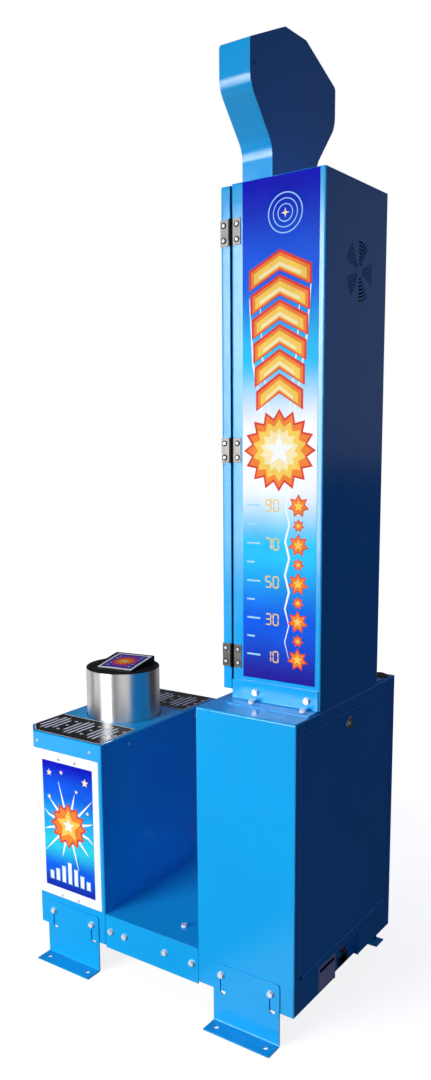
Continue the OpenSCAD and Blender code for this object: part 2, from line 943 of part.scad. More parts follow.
// Barrels and leaf of a butt hinge, first = 0 for the fixed leaf
module butt_hinge(first) {
    side = first == 0 ? 1 : -1;
    step = hinge_h / 5;
    screws_y = side * leaf_screw_y;
    translate([hinge_x, hinge_y, -hinge_h / 2])
        difference() {
            union() {
                difference() {
                    translate([-knuckle_r, side > 0 ? 0 : -hinge_leaf, 0])
                        cube([leaf_t, hinge_leaf, hinge_h]);
                    for (i = [0 : 4])
                        if (i % 2 != first)
                            translate([-knuckle_r - cut, -knuckle_r - pass, i * step - 0.1])
                                cube([2 * knuckle_r, 2 * (knuckle_r + pass), step + 0.2]);
                }
                for (i = [first : 2 : 4])
                    translate([0, 0, i * step + (i == 0 ? 0 : 0.1)]) {
                        cylinder(h = step - 0.1 - (i == 0 ? 0 : 0.1), r = knuckle_r);
                        translate([-knuckle_r, side > 0 ? 0 : -1, 0])
                            cube([knuckle_r - pin_r - 0.4, 1, step - 0.1 - (i == 0 ? 0 : 0.1)]);
                    }
            }
            translate([0, 0, -cut])
                cylinder(h = hinge_h + 2 * cut, r = pin_r + running);
            for (sz = [-1, 1])
                translate([-knuckle_r - cut, screws_y, hinge_h / 2 + sz * leaf_screw_z])
                    to_px()
                        cylinder(h = leaf_t + 2 * cut, r = screw_r + fit);
        }
}

module tower_hinge_leaves() {
    color(steel)
        for (z = hinge_z)
            translate([0, 0, base_top + z])
                butt_hinge(0);
}

module door_hinge_leaves() {
    color(steel)
        for (z = hinge_z)
            translate([0, 0, base_top + z])
                butt_hinge(1);
}

// Pins of all the hinges
module hinge_pins() {
    color(steel) {
        for (z = hinge_z)
            translate([hinge_x, hinge_y, base_top + z - hinge_h / 2]) {
                cylinder(h = hinge_h, r = pin_r);
                for (e = [-1, hinge_h])
                    translate([0, 0, e])
                        cylinder(h = 1, r = knuckle_r - 0.6);
            }
        translate([-long_l / 2, long_axis_y, long_axis_z])
            to_px()
                cylinder(h = long_l, r = long_pin_r);
    }
}

module fan_frame() {
    struts = 4;
    color(black)
        translate([vent_x, fan_y, vent_z])
            difference() {
                union() {
                    difference() {
                        front_cut(0, fan_depth)
                            rounded_rect(fan_side, fan_side, 6);
                        translate([0, cut, 0])
                            to_my()
                                cylinder(h = fan_depth + 2 * cut, r = fan_bore);
                    }
                    translate([0, 3 - fan_depth, 0])
                        to_my()
                            cylinder(h = 3, r = fan_hub);
                    for (i = [0 : struts - 1])
                        rotate([0, 45 + i * 360 / struts, 0])
                            translate([fan_hub - 1, -fan_depth, -2])
                                cube([fan_bore - fan_hub + 2, 3, 4]);
                    translate([0, -4, 0])
                        to_my()
                            cylinder(h = fan_depth - 5, r = fan_pin_r);
                }
                for (sx = [-1, 1], sz = [-1, 1])
                    translate([sx * fan_hole, cut, sz * fan_hole])
                        to_my()
                            cylinder(h = fan_depth + 2 * cut, r = screw_r + fit);
            }
}

module fan_rotor() {
    hub_l = fan_depth - 8;
    color("#2a2c30")
        translate([vent_x, fan_y - 2, vent_z])
            difference() {
                union() {
                    to_my()
                        cylinder(h = hub_l, r = fan_hub);
                    intersection() {
                        to_my()
                            cylinder(h = hub_l, r = fan_tip);
                        for (i = [0 : fan_blades - 1])
                            rotate([0, i * 360 / fan_blades, 0])
                                translate([0, -hub_l / 2, 0])
                                    rotate([fan_pitch, 0, 0])
                                        translate([fan_hub - 2, -16, -0.9])
                                            cube([fan_tip, 32, 1.8]);
                    }
                }
                translate([0, -1.6, 0])
                    to_my()
                        cylinder(h = hub_l, r = fan_pin_r + running);
            }
}

// Board with its chips, plugs and stand-offs
module control_board() {
    x0 = sheet_t - tower_x;
    z0 = base_top + tower_h / 2;
    y0 = body_y + 110;
    color("#1d6b3a") {
        translate([x0 + 10, y0 - 60, z0 - 80])
            cube([board_t, 120, 160]);
        for (sy = [-1, 1], sz = [-1, 1])
            translate([x0, y0 + sy * 52, z0 + sz * 72])
                to_px()
                    cylinder(h = 10.5, r = 3);
        for (p = [[-40, -60, 30, 12], [-40, 30, 24, 24], [10, -20, 30, 30], [16, 40, 26, 12]])
            translate([x0 + 10 + board_t - 0.2, y0 + p[0], z0 + p[1]])
                cube([8, p[2], p[3]]);
    }
}

module coin_box() {
    w = 150;
    d = 120;
    h = 70;
    color("#8d949b")
        translate([30, body_y + 90, base_top + sheet_t])
            difference() {
                flat(w, d, h);
                translate([0, 0, sheet_t])
                    flat(w - 2 * sheet_t, d - 2 * sheet_t, h);
            }
}

module tower_door() {
    grille = 4;
    color(blue)
        difference() {
            translate([0, door_out, door_z0])
                mirror([0, 1, 0])
                    door_pan(tower_w, door_z1 - door_z0, door_t, sheet_t, door_r);
            translate([0, skin_y + cut, score_z])
                front_cut(0, sheet_t + 2 * cut)
                    rounded_rect(score_w, score_h, 4);
            translate([0, skin_y + cut, light_z])
                front_cut(0, sheet_t + 2 * cut)
                    rounded_rect(light_w, light_h, 4);
            translate([coin_x, skin_y + cut, coin_mid])
                front_cut(0, sheet_t + 2 * cut)
                    square([coin_w - 2 * coin_edge, coin_h - 2 * coin_edge], center = true);
            translate([button_x, skin_y + cut, coin_mid])
                to_my()
                    cylinder(h = sheet_t + 2 * cut, r = button_body_r + fit);
            translate([tower_lock_x, skin_y + cut, tower_lock_z])
                to_my()
                    cylinder(h = sheet_t + 2 * cut, r = lock_barrel_r + fit);
            for (k = [-grille : grille])
                translate([0, skin_y + cut, speaker_mid + k * 8])
                    front_cut(0, sheet_t + 2 * cut)
                        rounded_rect(2 * sqrt(pow(speaker_r - 8, 2) - pow(k * 8, 2)), 3.6, 1);
            for (z = hinge_z, sz = [-1, 1])
                translate([tower_x - 5, hinge_y - leaf_screw_y, base_top + z + sz * leaf_screw_z])
                    to_px()
                        cylinder(h = 6, r = screw_r + fit);
        }
}

module door_screws() {
    color(steel)
        for (z = hinge_z, sz = [-1, 1])
            translate([tower_x + leaf_t, hinge_y - leaf_screw_y, base_top + z + sz * leaf_screw_z])
                to_px()
                    screw();
}

module tower_lock_body() {
    color(steel)
        translate([tower_lock_x, door_out, tower_lock_z])
            to_my()
                lock_body(tower_barrel_l);
}

module tower_lock_cam() {
    color("#e4dfc8")
        translate([tower_lock_x, door_out, tower_lock_z])
            to_my()
                rotate([0, 0, 90])
                    lock_cam(tower_barrel_l, tower_cam_l);
}

module door_windows() {
    e = 2 * window_edge;
    color("#20252c")
        translate([0, skin_y + window_t, 0]) {
            translate([0, 0, score_z])
                front_cut(0, window_t)
                    square([score_w + e, score_h + e], center = true);
            translate([0, 0, light_z])
                front_cut(0, window_t)
                    square([light_w + e, light_h + e], center = true);
        }
}

module display_board(w, h, z) {
    translate([-w / 2, board_y, z - h / 2])
        cube([w, board_t, h]);
    for (sx = [-1, 1], sz = [-1, 1])
        translate([sx * (w / 2 - 4), board_y + 0.5, z + sz * (h / 2 - 4)])
            to_my()
                cylinder(h = board_drop + 0.5, r = 3);
}

module display_boards() {
    color("#1d6b3a") {
        display_board(score_w, score_h, score_z);
        display_board(light_w, light_h, light_z);
    }
}

module digit_modules() {
    w = (score_w - 30) / 3;
    color("#5a1512")
        for (k = [-1 : 1])
            translate([k * (w + 4), board_y - (board_drop - pass) / 2, score_z])
                translate([-w / 2, (pass - board_drop) / 2, 14 - score_h / 2])
                    cube([w, board_drop - pass, score_h - 28]);
}

module lamp_leds() {
    step = (light_h - 50) / (lamp_count - 1);
    color("#ffd24a")
        for (k = [0 : lamp_count - 1])
            translate([0, board_y, light_z - light_h / 2 + 25 + k * step])
                to_my() {
                    cylinder(h = 4, r = lamp_r);
                    translate([0, 0, 4])
                        cylinder(h = 5, r1 = lamp_r, r2 = lamp_r - 4);
                }
}

// Plate with the coin slot, the button hole and the return cup
module coin_plate() {
    color(steel)
        difference() {
            union() {
                translate([coin_x, door_out, coin_mid])
                    front_cut(0, 3)
                        rounded_rect(coin_w, coin_h, 6);
                translate([coin_x - cup_w / 2, door_out - 1, cup_z - cup_h / 2])
                    cube([cup_w, cup_d + 1, cup_h]);
            }
            translate([coin_x + cup_t - cup_w / 2, door_out - 3 - cut, cup_z + cup_t - cup_h / 2])
                cube([cup_w - 2 * cup_t, cup_d + 3 + cut - cup_t, cup_h - 2 * cup_t]);
            translate([slot_x, door_out + cut, slot_z])
                front_cut(0, 3 + 2 * cut)
                    rounded_rect(slot_w, slot_h, 1.5);
            translate([reject_x, door_out + cut, slot_z])
                to_my()
                    cylinder(h = 3 + 2 * cut, r = reject_r + running);
            translate([coin_x - cup_w / 2 + 0.5, flap_axis_y, flap_axis_z])
                to_px()
                    cylinder(h = cup_w - 1, r = flap_pin_r + running);
        }
}

module coin_mech() {
    color("#3a3d42")
        translate([0, door_out, 0])
            difference() {
                translate([coin_x - mech_w / 2, 0, mech_z0])
                    cube([mech_w, mech_d, mech_z1 - mech_z0]);
                translate([slot_x - slot_w / 2, -cut, slot_z - slot_h / 2])
                    cube([slot_w, mech_d - 8, slot_h]);
                translate([reject_x, -cut, slot_z])
                    to_py()
                        cylinder(h = reject_travel + 10 + cut, r = reject_r + 2.5);
            }
}

module reject_button() {
    color("#c8402c")
        translate([reject_x, door_out, slot_z]) {
            translate([0, 1.5, 0])
                to_my()
                    cylinder(h = 1.5 + 3 + 5, r = reject_r);
            translate([0, 0.05, 0])
                to_py()
                    cylinder(h = 1.6, r = reject_r + 2);
        }
}

module return_flap() {
    w = cup_w - 2 * cup_t - 2 * pass;
    color("#2a2c30")
        translate([coin_x, flap_axis_y, flap_axis_z]) {
            translate([-w / 2, -1, cup_t + 0.5 - cup_h + 2 * cup_t + 2])
                cube([w, 2, cup_h - 3 * cup_t - 2]);
            translate([-cup_w / 2 + 0.8, 0, 0])
                to_px()
                    cylinder(h = cup_w - 1.6, r = flap_pin_r);
        }
}

module button_bezel() {
    color(black)
        translate([button_x, door_out, coin_mid])
            to_my()
                rotate_extrude()
                    polygon([
                        [plunger_r + running, 0.5 - sheet_t],
                        [plunger_r + running, 4],
                        [bezel_r - 2, 4],
                        [bezel_r, 2],
                        [bezel_r, 0],
                        [button_body_r, 0],
                        [button_body_r, -button_floor - 3],
                        [0, -button_floor - 3],
                        [0, -button_floor],
                        [plunger_r + 2.5, -button_floor],
                        [plunger_r + 2.5, 0.5 - sheet_t]
                    ]);
}

module start_button() {
    color("#f2c230")
        translate([button_x, door_out, coin_mid])
            to_my()
                rotate_extrude()
                    polygon([
                        [0, -button_in],
                        [plunger_r + 2, -button_in],
                        [plunger_r + 2, 0.4 - sheet_t],
                        [plunger_r, 0.4 - sheet_t],
                        [plunger_r, 4 + button_out - 2],
                        [plunger_r - 3, 4 + button_out],
                        [0, 4 + button_out + 1.5]
                    ]);
}

module speaker() {
    r = speaker_r;
    color("#202226")
        translate([0, skin_y, speaker_mid])
            to_py()
                rotate_extrude()
                    polygon([[r, 0], [r, 3], [r - 5, 3], [26, 21], [30, 21], [30, 36], [0, 36],
                        [0, 13], [12, 17], [r - 8, 0]]);
}

module head_shape(d) {
    p = d == 0 ? head_points : inset(head_points, d);
    r = head_r;
    out = taper_r - d;
    in = taper_r + d;
    polygon(bend(p, [r / 4, r / 4, in, out, r, r, r, r, out, in], 12));
}

module head_shell() {
    ledge_y = head_y0 + 6;
    color(blue)
        difference() {
            translate([0, head_y1, tower_top])
                front_cut(0, head_t)
                    head_shape(0);
            translate([0, head_y1 - sheet_t, tower_top])
                front_cut(0, head_y1 - sheet_t - ledge_y - sheet_t)
                    head_shape(sheet_t);
            translate([0, ledge_y, tower_top])
                front_cut(0, head_t)
                    head_shape(sheet_t);
            translate([0, ledge_y + sheet_t + cut, tower_top])
                front_cut(0, sheet_t + 2 * cut)
                    head_shape(12);
            translate([0, head_y0 + head_t / 2, tower_top - cut])
                flat(60, 30, sheet_t + 2 * cut);
            for (sx = [-1, 1])
                translate([sx * head_screw[0], head_y1 + cut, tower_top + head_screw[1]])
                    to_my()
                        cylinder(h = sheet_t + 2 * cut, r = screw_r + fit);
        }
}

module head_front() {
    color("#f4f6ff")
        translate([0, head_y0 + 6, tower_top])
            front_cut(0, 5)
                head_shape(sheet_t + 0.2);
}

module head_light_panel() {
    depth = head_y1 - sheet_t - head_panel_y;
    color("#e8ecf4")
        difference() {
            union() {
                translate([0, head_panel_y, tower_top])
                    front_cut(0, 4)
                        head_shape(8);
                for (sx = [-1, 1])
                    translate([sx * head_screw[0], head_panel_y - 0.5, tower_top + head_screw[1]])
                        to_py()
                            cylinder(h = depth + 0.5, r = 5);
                for (sx = [-1, 1])
                    translate([sx * (neck_w / 2 - 20), head_panel_y - 0.5, tower_top + neck_h / 2])
                        to_py()
                            cylinder(h = depth + 0.5, r = 5);
            }
            for (sx = [-1, 1])
                translate([sx * head_screw[0], head_y1, tower_top + head_screw[1]])
                    to_my()
                        cylinder(h = sheet_t + screw_l, r = screw_r + fit);
        }
}

function pad_body(d) = inset(pad_points(side_x, pad_y0, pad_y1, cabinet_cut), d);
function cover_shape(d) = inset(pad_points(cover_x, front_y, pad_back, cover_cut), d);

module pad_cabinet() {
    h = pad_top - sheet_t - ground_gap;
    color(blue)
        difference() {
            translate([0, 0, ground_gap])
                linear_extrude(h)
                    polygon(bend(pad_body(0), bends));
            translate([0, 0, floor_z])
                linear_extrude(h - 2 * sheet_t)
                    polygon(pad_body(sheet_t));
            translate([0, 0, floor_z])
                linear_extrude(h)
                    polygon(pad_body(pad_rim));
            bolt_holes_x(foot_bolt_z, [foot_y[0] - foot_pitch / 2, foot_y[0] + foot_pitch / 2]);
            cover_screw_places()
                translate([0, 0, -cut - cover_out - sheet_t])
                    cylinder(h = cover_out + sheet_t + 2 * cut, r = screw_r + fit);
        }
}

// The six cover screws, heads outwards
module cover_screw_places() {
    for (y = cover_screw_y) {
        translate([cover_x, y, cover_screw_z])
            to_px()
                children();
        translate([-cover_x, y, cover_screw_z])
            to_mx()
                children();
    }
    for (x = [-cover_screw_x, cover_screw_x])
        translate([x, pad_back, cover_screw_z])
            to_py()
                children();
}

module pad_cover() {
    color(blue)
        difference() {
            union() {
                difference() {
                    intersection() {
                        translate([0, 0, pad_top - skirt_h])
                            linear_extrude(skirt_h)
                                polygon(bend(cover_shape(0), bends));
                        translate([0, 0, pad_top - skirt_h])
                            front_cut(pad_back + cut, pad_d + 2 * cut)
                                skirt_profile(2 * cover_x);
                        translate([0, post_y, pad_top - skirt_h])
                            side_cut(-cover_x - cut, 2 * cover_x + 2 * cut)
                                skirt_profile(pad_d);
                    }
                    translate([0, 0, pad_top - skirt_h - cut])
                        linear_extrude(skirt_h + cut - sheet_t)
                            polygon(bend(cover_shape(sheet_t), [for (i = [0 : 5]) fold_r - sheet_t]));
                }
                translate([0, post_y, pad_top - collar_h])
                    cylinder(h = collar_h - 0.5, r = hole_r + sheet_t);
            }
            translate([0, post_y, pad_top - collar_h - cut])
                cylinder(h = collar_h + 2 * cut, r = hole_r, $fn = 96);
            cover_screw_places()
                translate([0, 0, -cover_out - sheet_t])
                    cylinder(h = cover_out + sheet_t + cut, r = screw_r + fit);
        }
}

// Side view of the cover with rounded upper edges
module skirt_profile(w) {
    translate([-w / 2, 0])
        square([w, skirt_h - fold_r]);
    translate([fold_r - w / 2, 0])
        square([w - 2 * fold_r, skirt_h]);
    for (s = [-1, 1])
        translate([s * (w / 2 - fold_r), skirt_h - fold_r])
            circle(fold_r);
}

module pad_posters() {
    color("#eef4fb")
        for (x = [-side_x - print_t, side_x])
            translate([x, poster_y - poster_w / 2, poster_z0])
                difference() {
                    cube([print_t, poster_w, poster_h]);
                    for (dy = [-27.5, 27.5], z = [7.5, poster_h - 18])
                        translate([-cut, poster_w / 2 + dy, z])
                            to_px()
                                cylinder(h = print_t + 2 * cut, r = screw_r + fit);
                }
}

module rule_plates() {
    color(black)
        for (s = [-1, 1])
            translate([0, 0, pad_top])
                linear_extrude(print_t)
                    intersection() {
                        polygon(cover_shape(fold_r + rule_edge - 1));
                        translate([s > 0 ? rule_in : -cover_x, front_y])
                            square([cover_x - rule_in, pad_d - 10]);
                    }
}

module guide_frame() {
    color("#4b5056")
        translate([0, post_y, 0])
            difference() {
                union() {
                    translate([0, 0, floor_z])
                        flat(230, 200, 8);
                    translate([0, 0, floor_z])
                        cylinder(h = guide_z - floor_z, r = guide_tube_r);
                    translate([0, 0, guide_z - guide_plate_t])
                        cylinder(h = guide_plate_t, r = guide_plate_r);
                    for (a = [45 : 90 : 315])
                        rotate([0, 0, a]) {
                            translate([0, 4, 0])
                                front_cut(0, 8)
                                    polygon([
                                        [guide_tube_r - 3, floor_z + 7],
                                        [95, floor_z + 7],
                                        [guide_tube_r - 3, floor_z + 120]
                                    ]);
                            translate([0, 4, 0])
                                front_cut(0, 8)
                                    polygon([
                                        [guide_tube_r - 3, guide_z - 110],
                                        [guide_plate_r - 6, guide_z - guide_plate_t + 1],
                                        [guide_tube_r - 3, guide_z - guide_plate_t + 1]
                                    ]);
                        }
                }
                translate([0, 0, floor_z + 8])
                    cylinder(h = guide_z - floor_z, r = guide_bore);
            }
}

module guide_bushes() {
    color("#b08a3c")
        translate([0, post_y, 0])
            for (z = [low_bush_z, guide_z - bush_l])
                translate([0, 0, z])
                    difference() {
                        cylinder(h = bush_l, r = shaft_r + bush_wall);
                        translate([0, 0, -cut])
                            cylinder(h = bush_l + 2 * cut, r = shaft_r + running);
                    }
}

module rubber_buffers() {
    color("#202020")
        for (a = [0 : 90 : 270])
            translate([0, post_y, guide_z])
                rotate([0, 0, a])
                    translate([buffer_ring, 0, 0])
                        cylinder(h = buffer_h, r = buffer_r);
}

// Points along the return spring, and the least gap between its turns
coil_steps = 12;
coil_n = coil_turns * coil_steps;
coil_line = [
    for (i = [0 : coil_n])
        [
            coil_r * cos(360 * i / coil_steps),
            coil_r * sin(360 * i / coil_steps),
            wire_r + (spring_l - 2 * wire_r) * i / coil_n
        ]
];
coil_turn = [for (i = [0 : coil_n - coil_steps]) norm(coil_line[i + coil_steps] - coil_line[i])];
coil_gap = min(coil_turn) - 2 * wire_r;
echo(coil_gap = coil_gap);

module return_spring() {
    k = 6;
    rings = [
        for (i = [0 : coil_n], j = [0 : k - 1])
            let (a = 360 * i / coil_steps)
            let (r = coil_r + wire_r * cos(360 * j / k))
            [r * cos(a), r * sin(a), coil_line[i][2] + wire_r * sin(360 * j / k)]
    ];
    sides = [
        for (i = [0 : coil_n - 1], j = [0 : k - 1])
            let (m = (j + 1) % k)
            each [
                [i * k + j, (i + 1) * k + j, (i + 1) * k + m],
                [i * k + j, (i + 1) * k + m, i * k + m]
            ]
    ];
    first = [for (j = [1 : k - 2]) [0, j, j + 1]];
    last = [for (j = [1 : k - 2]) [coil_n * k, coil_n * k + j + 1, coil_n * k + j]];
    color("#8b9097")
        translate([0, post_y, guide_z])
            polyhedron(points = rings, faces = concat(sides, first, last));
}

module impact_sensor() {
    color("#2f5f9e")
        translate([0, post_y, guide_z])
            rotate([0, 0, 45])
                translate([buffer_ring, 0, 0])
                    flat(20, 30, 14);
}

module strike_post() {
    color("#c4c9ce")
        translate([0, post_y, 0]) {
            difference() {
                translate([0, 0, post_z0])
                    cylinder(h = tube_top - post_z0, r = post_r, $fn = 96);
                translate([0, 0, post_z0 + post_plate_t])
                    cylinder(h = tube_top - post_z0 - post_plate_t - plug_h - cap_plate_t,
                        r = post_r - post_wall);
                translate([0, 0, tube_top - plug_h])
                    cylinder(h = plug_h + cut, r = post_r - post_wall);
            }
        }
}

module strike_pad() {
    r = post_r - 0.5;
    color("#26282b")
        translate([0, post_y, tube_top]) {
            rotate_extrude($fn = 96)
                polygon([
                    [0, -plug_h],
                    [post_r - post_wall - 0.2, -plug_h],
                    [post_r - post_wall - 0.2, 0],
                    [r, 0],
                    [r, cap_lip - 1],
                    [r - 1, cap_lip],
                    [0, cap_lip]
                ]);
            rotate([0, 0, wedge_turn])
                translate([0, wedge_w / 2, cap_lip])
                    front_cut(0, wedge_w)
                        polygon([
                            [wedge_toe, -1],
                            [wedge_toe, wedge_toe_h],
                            [wedge_toe - wedge_run, wedge_rise],
                            [wedge_toe - wedge_run, -1]
                        ]);
        }
}

module strike_plate() {
    x = -3;
    a = atan((wedge_rise - wedge_toe_h) / wedge_run);
    z = tube_top + cap_lip + wedge_toe_h + (wedge_toe - x) * tan(a) + 0.05;
    color("#6f8fb8")
        translate([0, post_y, z])
            rotate([0, 0, wedge_turn])
                translate([x, 5.5, 0])
                    rotate([0, a, 0])
                        flat(plate_len, plate_wid, print_t);
}

module guide_shaft() {
    z0 = low_bush_z - collar_l - pass;
    color(steel)
        translate([0, post_y, z0]) {
            cylinder(h = post_z0 - z0, r = shaft_r);
            cylinder(h = collar_l, r = guide_bore - 0.5);
        }
}

// Pan between the cabinets with a rail inside each flange
module floor_pan() {
    l = base_y - pad_y1;
    color(blue)
        difference() {
            union() {
                translate([0, base_y, 0])
                    front_cut(0, l)
                        difference() {
                            translate([-pan_x, pan_low])
                                square([2 * pan_x, pan_z - pan_low]);
                            translate([sheet_t - pan_x, pan_low - cut])
                                square([2 * (pan_x - sheet_t), pan_z - pan_low + cut - sheet_t]);
                        }
                for (x = [sheet_t - pan_x - 0.5, pan_x - sheet_t - rail_t])
                    translate([x, pad_y1, pan_z - sheet_t - rail_h])
                        cube([rail_t + 0.5, l, rail_h + 0.5]);
            }
            for (y = pan_bolt_y)
                translate([-pan_x - cut, y, pan_bolt_z])
                    to_px()
                        cylinder(h = 2 * pan_x + 2 * cut, r = bolt_r + fit);
            for (s = [-1, 1])
                translate([s * pan_top_bolt[0], pan_top_bolt[1], pan_z - sheet_t - cut])
                    cylinder(h = sheet_t + 2 * cut, r = bolt_r + fit);
        }
}

// Upright plate of a foot with bolt holes and hook slots
module foot_plate() {
    difference() {
        union() {
            translate([-foot_len / 2, 0])
                square([foot_len, foot_h - 8]);
            translate([8 - foot_len / 2, 0])
                square([foot_len - 16, foot_h]);
            for (s = [-1, 1])
                translate([s * (foot_len / 2 - 8), foot_h - 8])
                    circle(8);
        }
        for (s = [-1, 1])
            translate([s * foot_pitch / 2, foot_bolt_z]) {
                circle(bolt_r + fit);
                translate([-4, -foot_slot])
                    square([8, foot_slot]);
                translate([4, -foot_slot])
                    circle(7);
            }
    }
}

module foot_bracket() {
    intersection() {
        translate([side_x, foot_len / 2, 0])
            front_cut(0, foot_len)
                angle_profile(foot_out, foot_h, foot_t);
        union() {
            side_cut(side_x - cut, foot_t + cut)
                foot_plate();
            translate([side_x, -foot_len / 2, -cut])
                cube([foot_out + cut, foot_len, 4 * foot_t]);
        }
    }
}

module foot_brackets() {
    color(blue)
        for (m = [0, 1], y = foot_y)
            mirror([m, 0, 0])
                translate([0, y, 0])
                    difference() {
                        foot_bracket();
                        for (s = [-1, 1])
                            translate([side_x + floor_hole_out, s * foot_pitch / 2, -cut])
                                cylinder(h = foot_t + 2 * cut, r = floor_hole_r);
                    }
}

module hex_bolts() {
    color("#d4d8dc")
        for (m = [0, 1])
            mirror([m, 0, 0]) {
                for (y = foot_y, s = [-1, 1])
                    translate([side_x + foot_t, y + s * foot_pitch / 2, foot_bolt_z])
                        to_px()
                            hex_bolt(foot_t + sheet_t);
                for (y = pan_bolt_y)
                    translate([pan_x, y, pan_bolt_z])
                        to_px()
                            hex_bolt(sheet_t + rail_t);
                translate([pan_top_bolt[0], pan_top_bolt[1], pan_z])
                    hex_bolt(sheet_t);
                for (y = angle_bolts) {
                    translate([tower_x + angle_t, y, angle_bolt_z])
                        to_px()
                            hex_bolt(angle_t + sheet_t);
                    translate([angle_bolt_x, y, base_top + angle_t])
                        hex_bolt(angle_t + sheet_t);
                }
            }
}

module screws() {
    color(steel) {
        cover_screw_places()
            screw();
        for (x = [-1, 1], dy = [-27.5, 27.5], z = [7.5, poster_h - 18])
            translate([x * (side_x + print_t), poster_y + dy, poster_z0 + z])
                rotate([0, x * 90, 0])
                    screw(print_t);
        for (z = hinge_z, sz = [-1, 1])
            translate([tower_x + leaf_t, hinge_y + leaf_screw_y, base_top + z + sz * leaf_screw_z])
                to_px()
                    screw();
        for (sx = [-1, 1])
            translate([sx * head_screw[0], head_y1, tower_top + head_screw[1]])
                to_py()
                    screw();
        for (sx = [-1, 1], sz = [-1, 1])
            translate([vent_x + sx * fan_hole, fan_y - fan_depth, vent_z + sz * fan_hole])
                to_my()
                    screw(fan_depth);
    }
}

base_cabinet();
service_door();
service_hinge_leaf();
service_door_leaf();
service_lock_body();
service_lock_cam();
power_pocket();
power_inlet();
inlet_pins();
switch_bezel();
switch_rocker();
power_supply();
rating_label();
tether_anchor();
tower_cabinet();
tower_back();
tower_foot_angles();
tower_pictures();
tower_hinge_leaves();
hinge_pins();
fan_frame();
fan_rotor();
control_board();
coin_box();
tower_door();
door_hinge_leaves();
door_screws();
tower_lock_body();
tower_lock_cam();
door_windows();
display_boards();
digit_modules();
lamp_leds();
coin_plate();
coin_mech();
reject_button();
return_flap();
button_bezel();
start_button();
speaker();
head_shell();
head_front();
head_light_panel();
pad_cabinet();
pad_cover();
pad_posters();
rule_plates();
guide_frame();
guide_bushes();
rubber_buffers();
return_spring();
impact_sensor();
strike_post();
strike_pad();
strike_plate();
guide_shaft();
floor_pan();
foot_brackets();
hex_bolts();
screws();
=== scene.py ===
import math

import bpy
from mathutils import Matrix, Vector


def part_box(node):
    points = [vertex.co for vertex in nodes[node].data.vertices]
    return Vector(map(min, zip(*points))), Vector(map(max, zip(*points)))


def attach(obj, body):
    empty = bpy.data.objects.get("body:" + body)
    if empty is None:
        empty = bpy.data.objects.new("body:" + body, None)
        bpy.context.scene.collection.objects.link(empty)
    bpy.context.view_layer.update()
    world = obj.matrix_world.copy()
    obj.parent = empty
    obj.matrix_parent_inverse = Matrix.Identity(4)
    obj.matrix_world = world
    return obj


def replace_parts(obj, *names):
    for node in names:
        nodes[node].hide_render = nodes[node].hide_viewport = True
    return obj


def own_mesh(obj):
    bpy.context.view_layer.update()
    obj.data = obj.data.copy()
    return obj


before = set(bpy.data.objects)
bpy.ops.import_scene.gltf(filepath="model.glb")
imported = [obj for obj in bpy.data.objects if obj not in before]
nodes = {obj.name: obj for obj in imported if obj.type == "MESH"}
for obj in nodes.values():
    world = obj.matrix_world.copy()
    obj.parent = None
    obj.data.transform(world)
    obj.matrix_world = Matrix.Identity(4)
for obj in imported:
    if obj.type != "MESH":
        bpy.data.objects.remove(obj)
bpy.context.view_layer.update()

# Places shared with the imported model, in millimetres
BACK_Y = 402.25
PAD_BACK = -134.75
POST_Y = -270.25
PAD_TOP = 609
CAP_TOP = 742
TOWER_TOP = 1879
TOWER_X = 150
SIDE_X = 257
COVER_X = 259.5
DOOR_OUT = 152.25
SCORE_Z = 1699
LIGHT_Z = 1331
SIGN_Y = 177.25
SIGN_Z = 2080
HEAD_BACK_Y = 250.25

# Tower hinges
HINGE_Y = 178.25
HINGE_ZS = [856, 1321, 1781]
LEAF_X = 152
LEAF_SCREW_Y = 16.5
LEAF_SCREW_Z = 15.5
# The hinge steel's painted shade on the barrel: its middle, the radius of the near black and where the
# leaf's own colour is reached
BARREL_Y = HINGE_Y + 1.5
BARREL_SHADE_R = 4.4
LEAF_FROM = 5.2

# Screws
SCREW_HEAD = 2.2
COVER_SCREW_X = 149
COVER_SCREW_YS = (-349.75, -171.75)
COVER_SCREW_Z = 585
POSTER_FACE_X = 258
POSTER_SCREW_YS = (-279.75, -224.75)
POSTER_SCREW_ZS = (174.5, 546)
HEAD_SCREW_X = 171.5
HEAD_SCREW_Z = TOWER_TOP + 218


# Materials
def empty_tree(owner):
    """The node tree of a material or world, with nothing in it."""
    owner.use_nodes = True
    owner.node_tree.nodes.clear()
    return owner.node_tree


def new_material(name):
    m = bpy.data.materials.new(name)
    nt = empty_tree(m)
    out = nt.nodes.new("ShaderNodeOutputMaterial")
    bsdf = nt.nodes.new("ShaderNodeBsdfPrincipled")
    nt.links.new(bsdf.outputs[0], out.inputs[0])
    return m, nt, bsdf


def object_noise(nt, scale, detail=3.0, stretch=None, rough=0.5):
    tc = nt.nodes.new("ShaderNodeTexCoord")
    n = nt.nodes.new("ShaderNodeTexNoise")
    n.inputs["Scale"].default_value = scale
    n.inputs["Detail"].default_value = detail
    n.inputs["Roughness"].default_value = rough
    if stretch is None:
        nt.links.new(tc.outputs["Object"], n.inputs["Vector"])
    else:
        mp = nt.nodes.new("ShaderNodeMapping")
        mp.inputs["Scale"].default_value = stretch
        nt.links.new(tc.outputs["Object"], mp.inputs["Vector"])
        nt.links.new(mp.outputs[0], n.inputs["Vector"])
    return n.outputs[0]


def object_axis(nt, axis):
    """The object's own coordinate along X, Y or Z, with axis 0, 1 or 2, in metres."""
    tc = nt.nodes.new("ShaderNodeTexCoord")
    sep = nt.nodes.new("ShaderNodeSeparateXYZ")
    nt.links.new(tc.outputs["Object"], sep.inputs[0])
    return sep.outputs[axis]


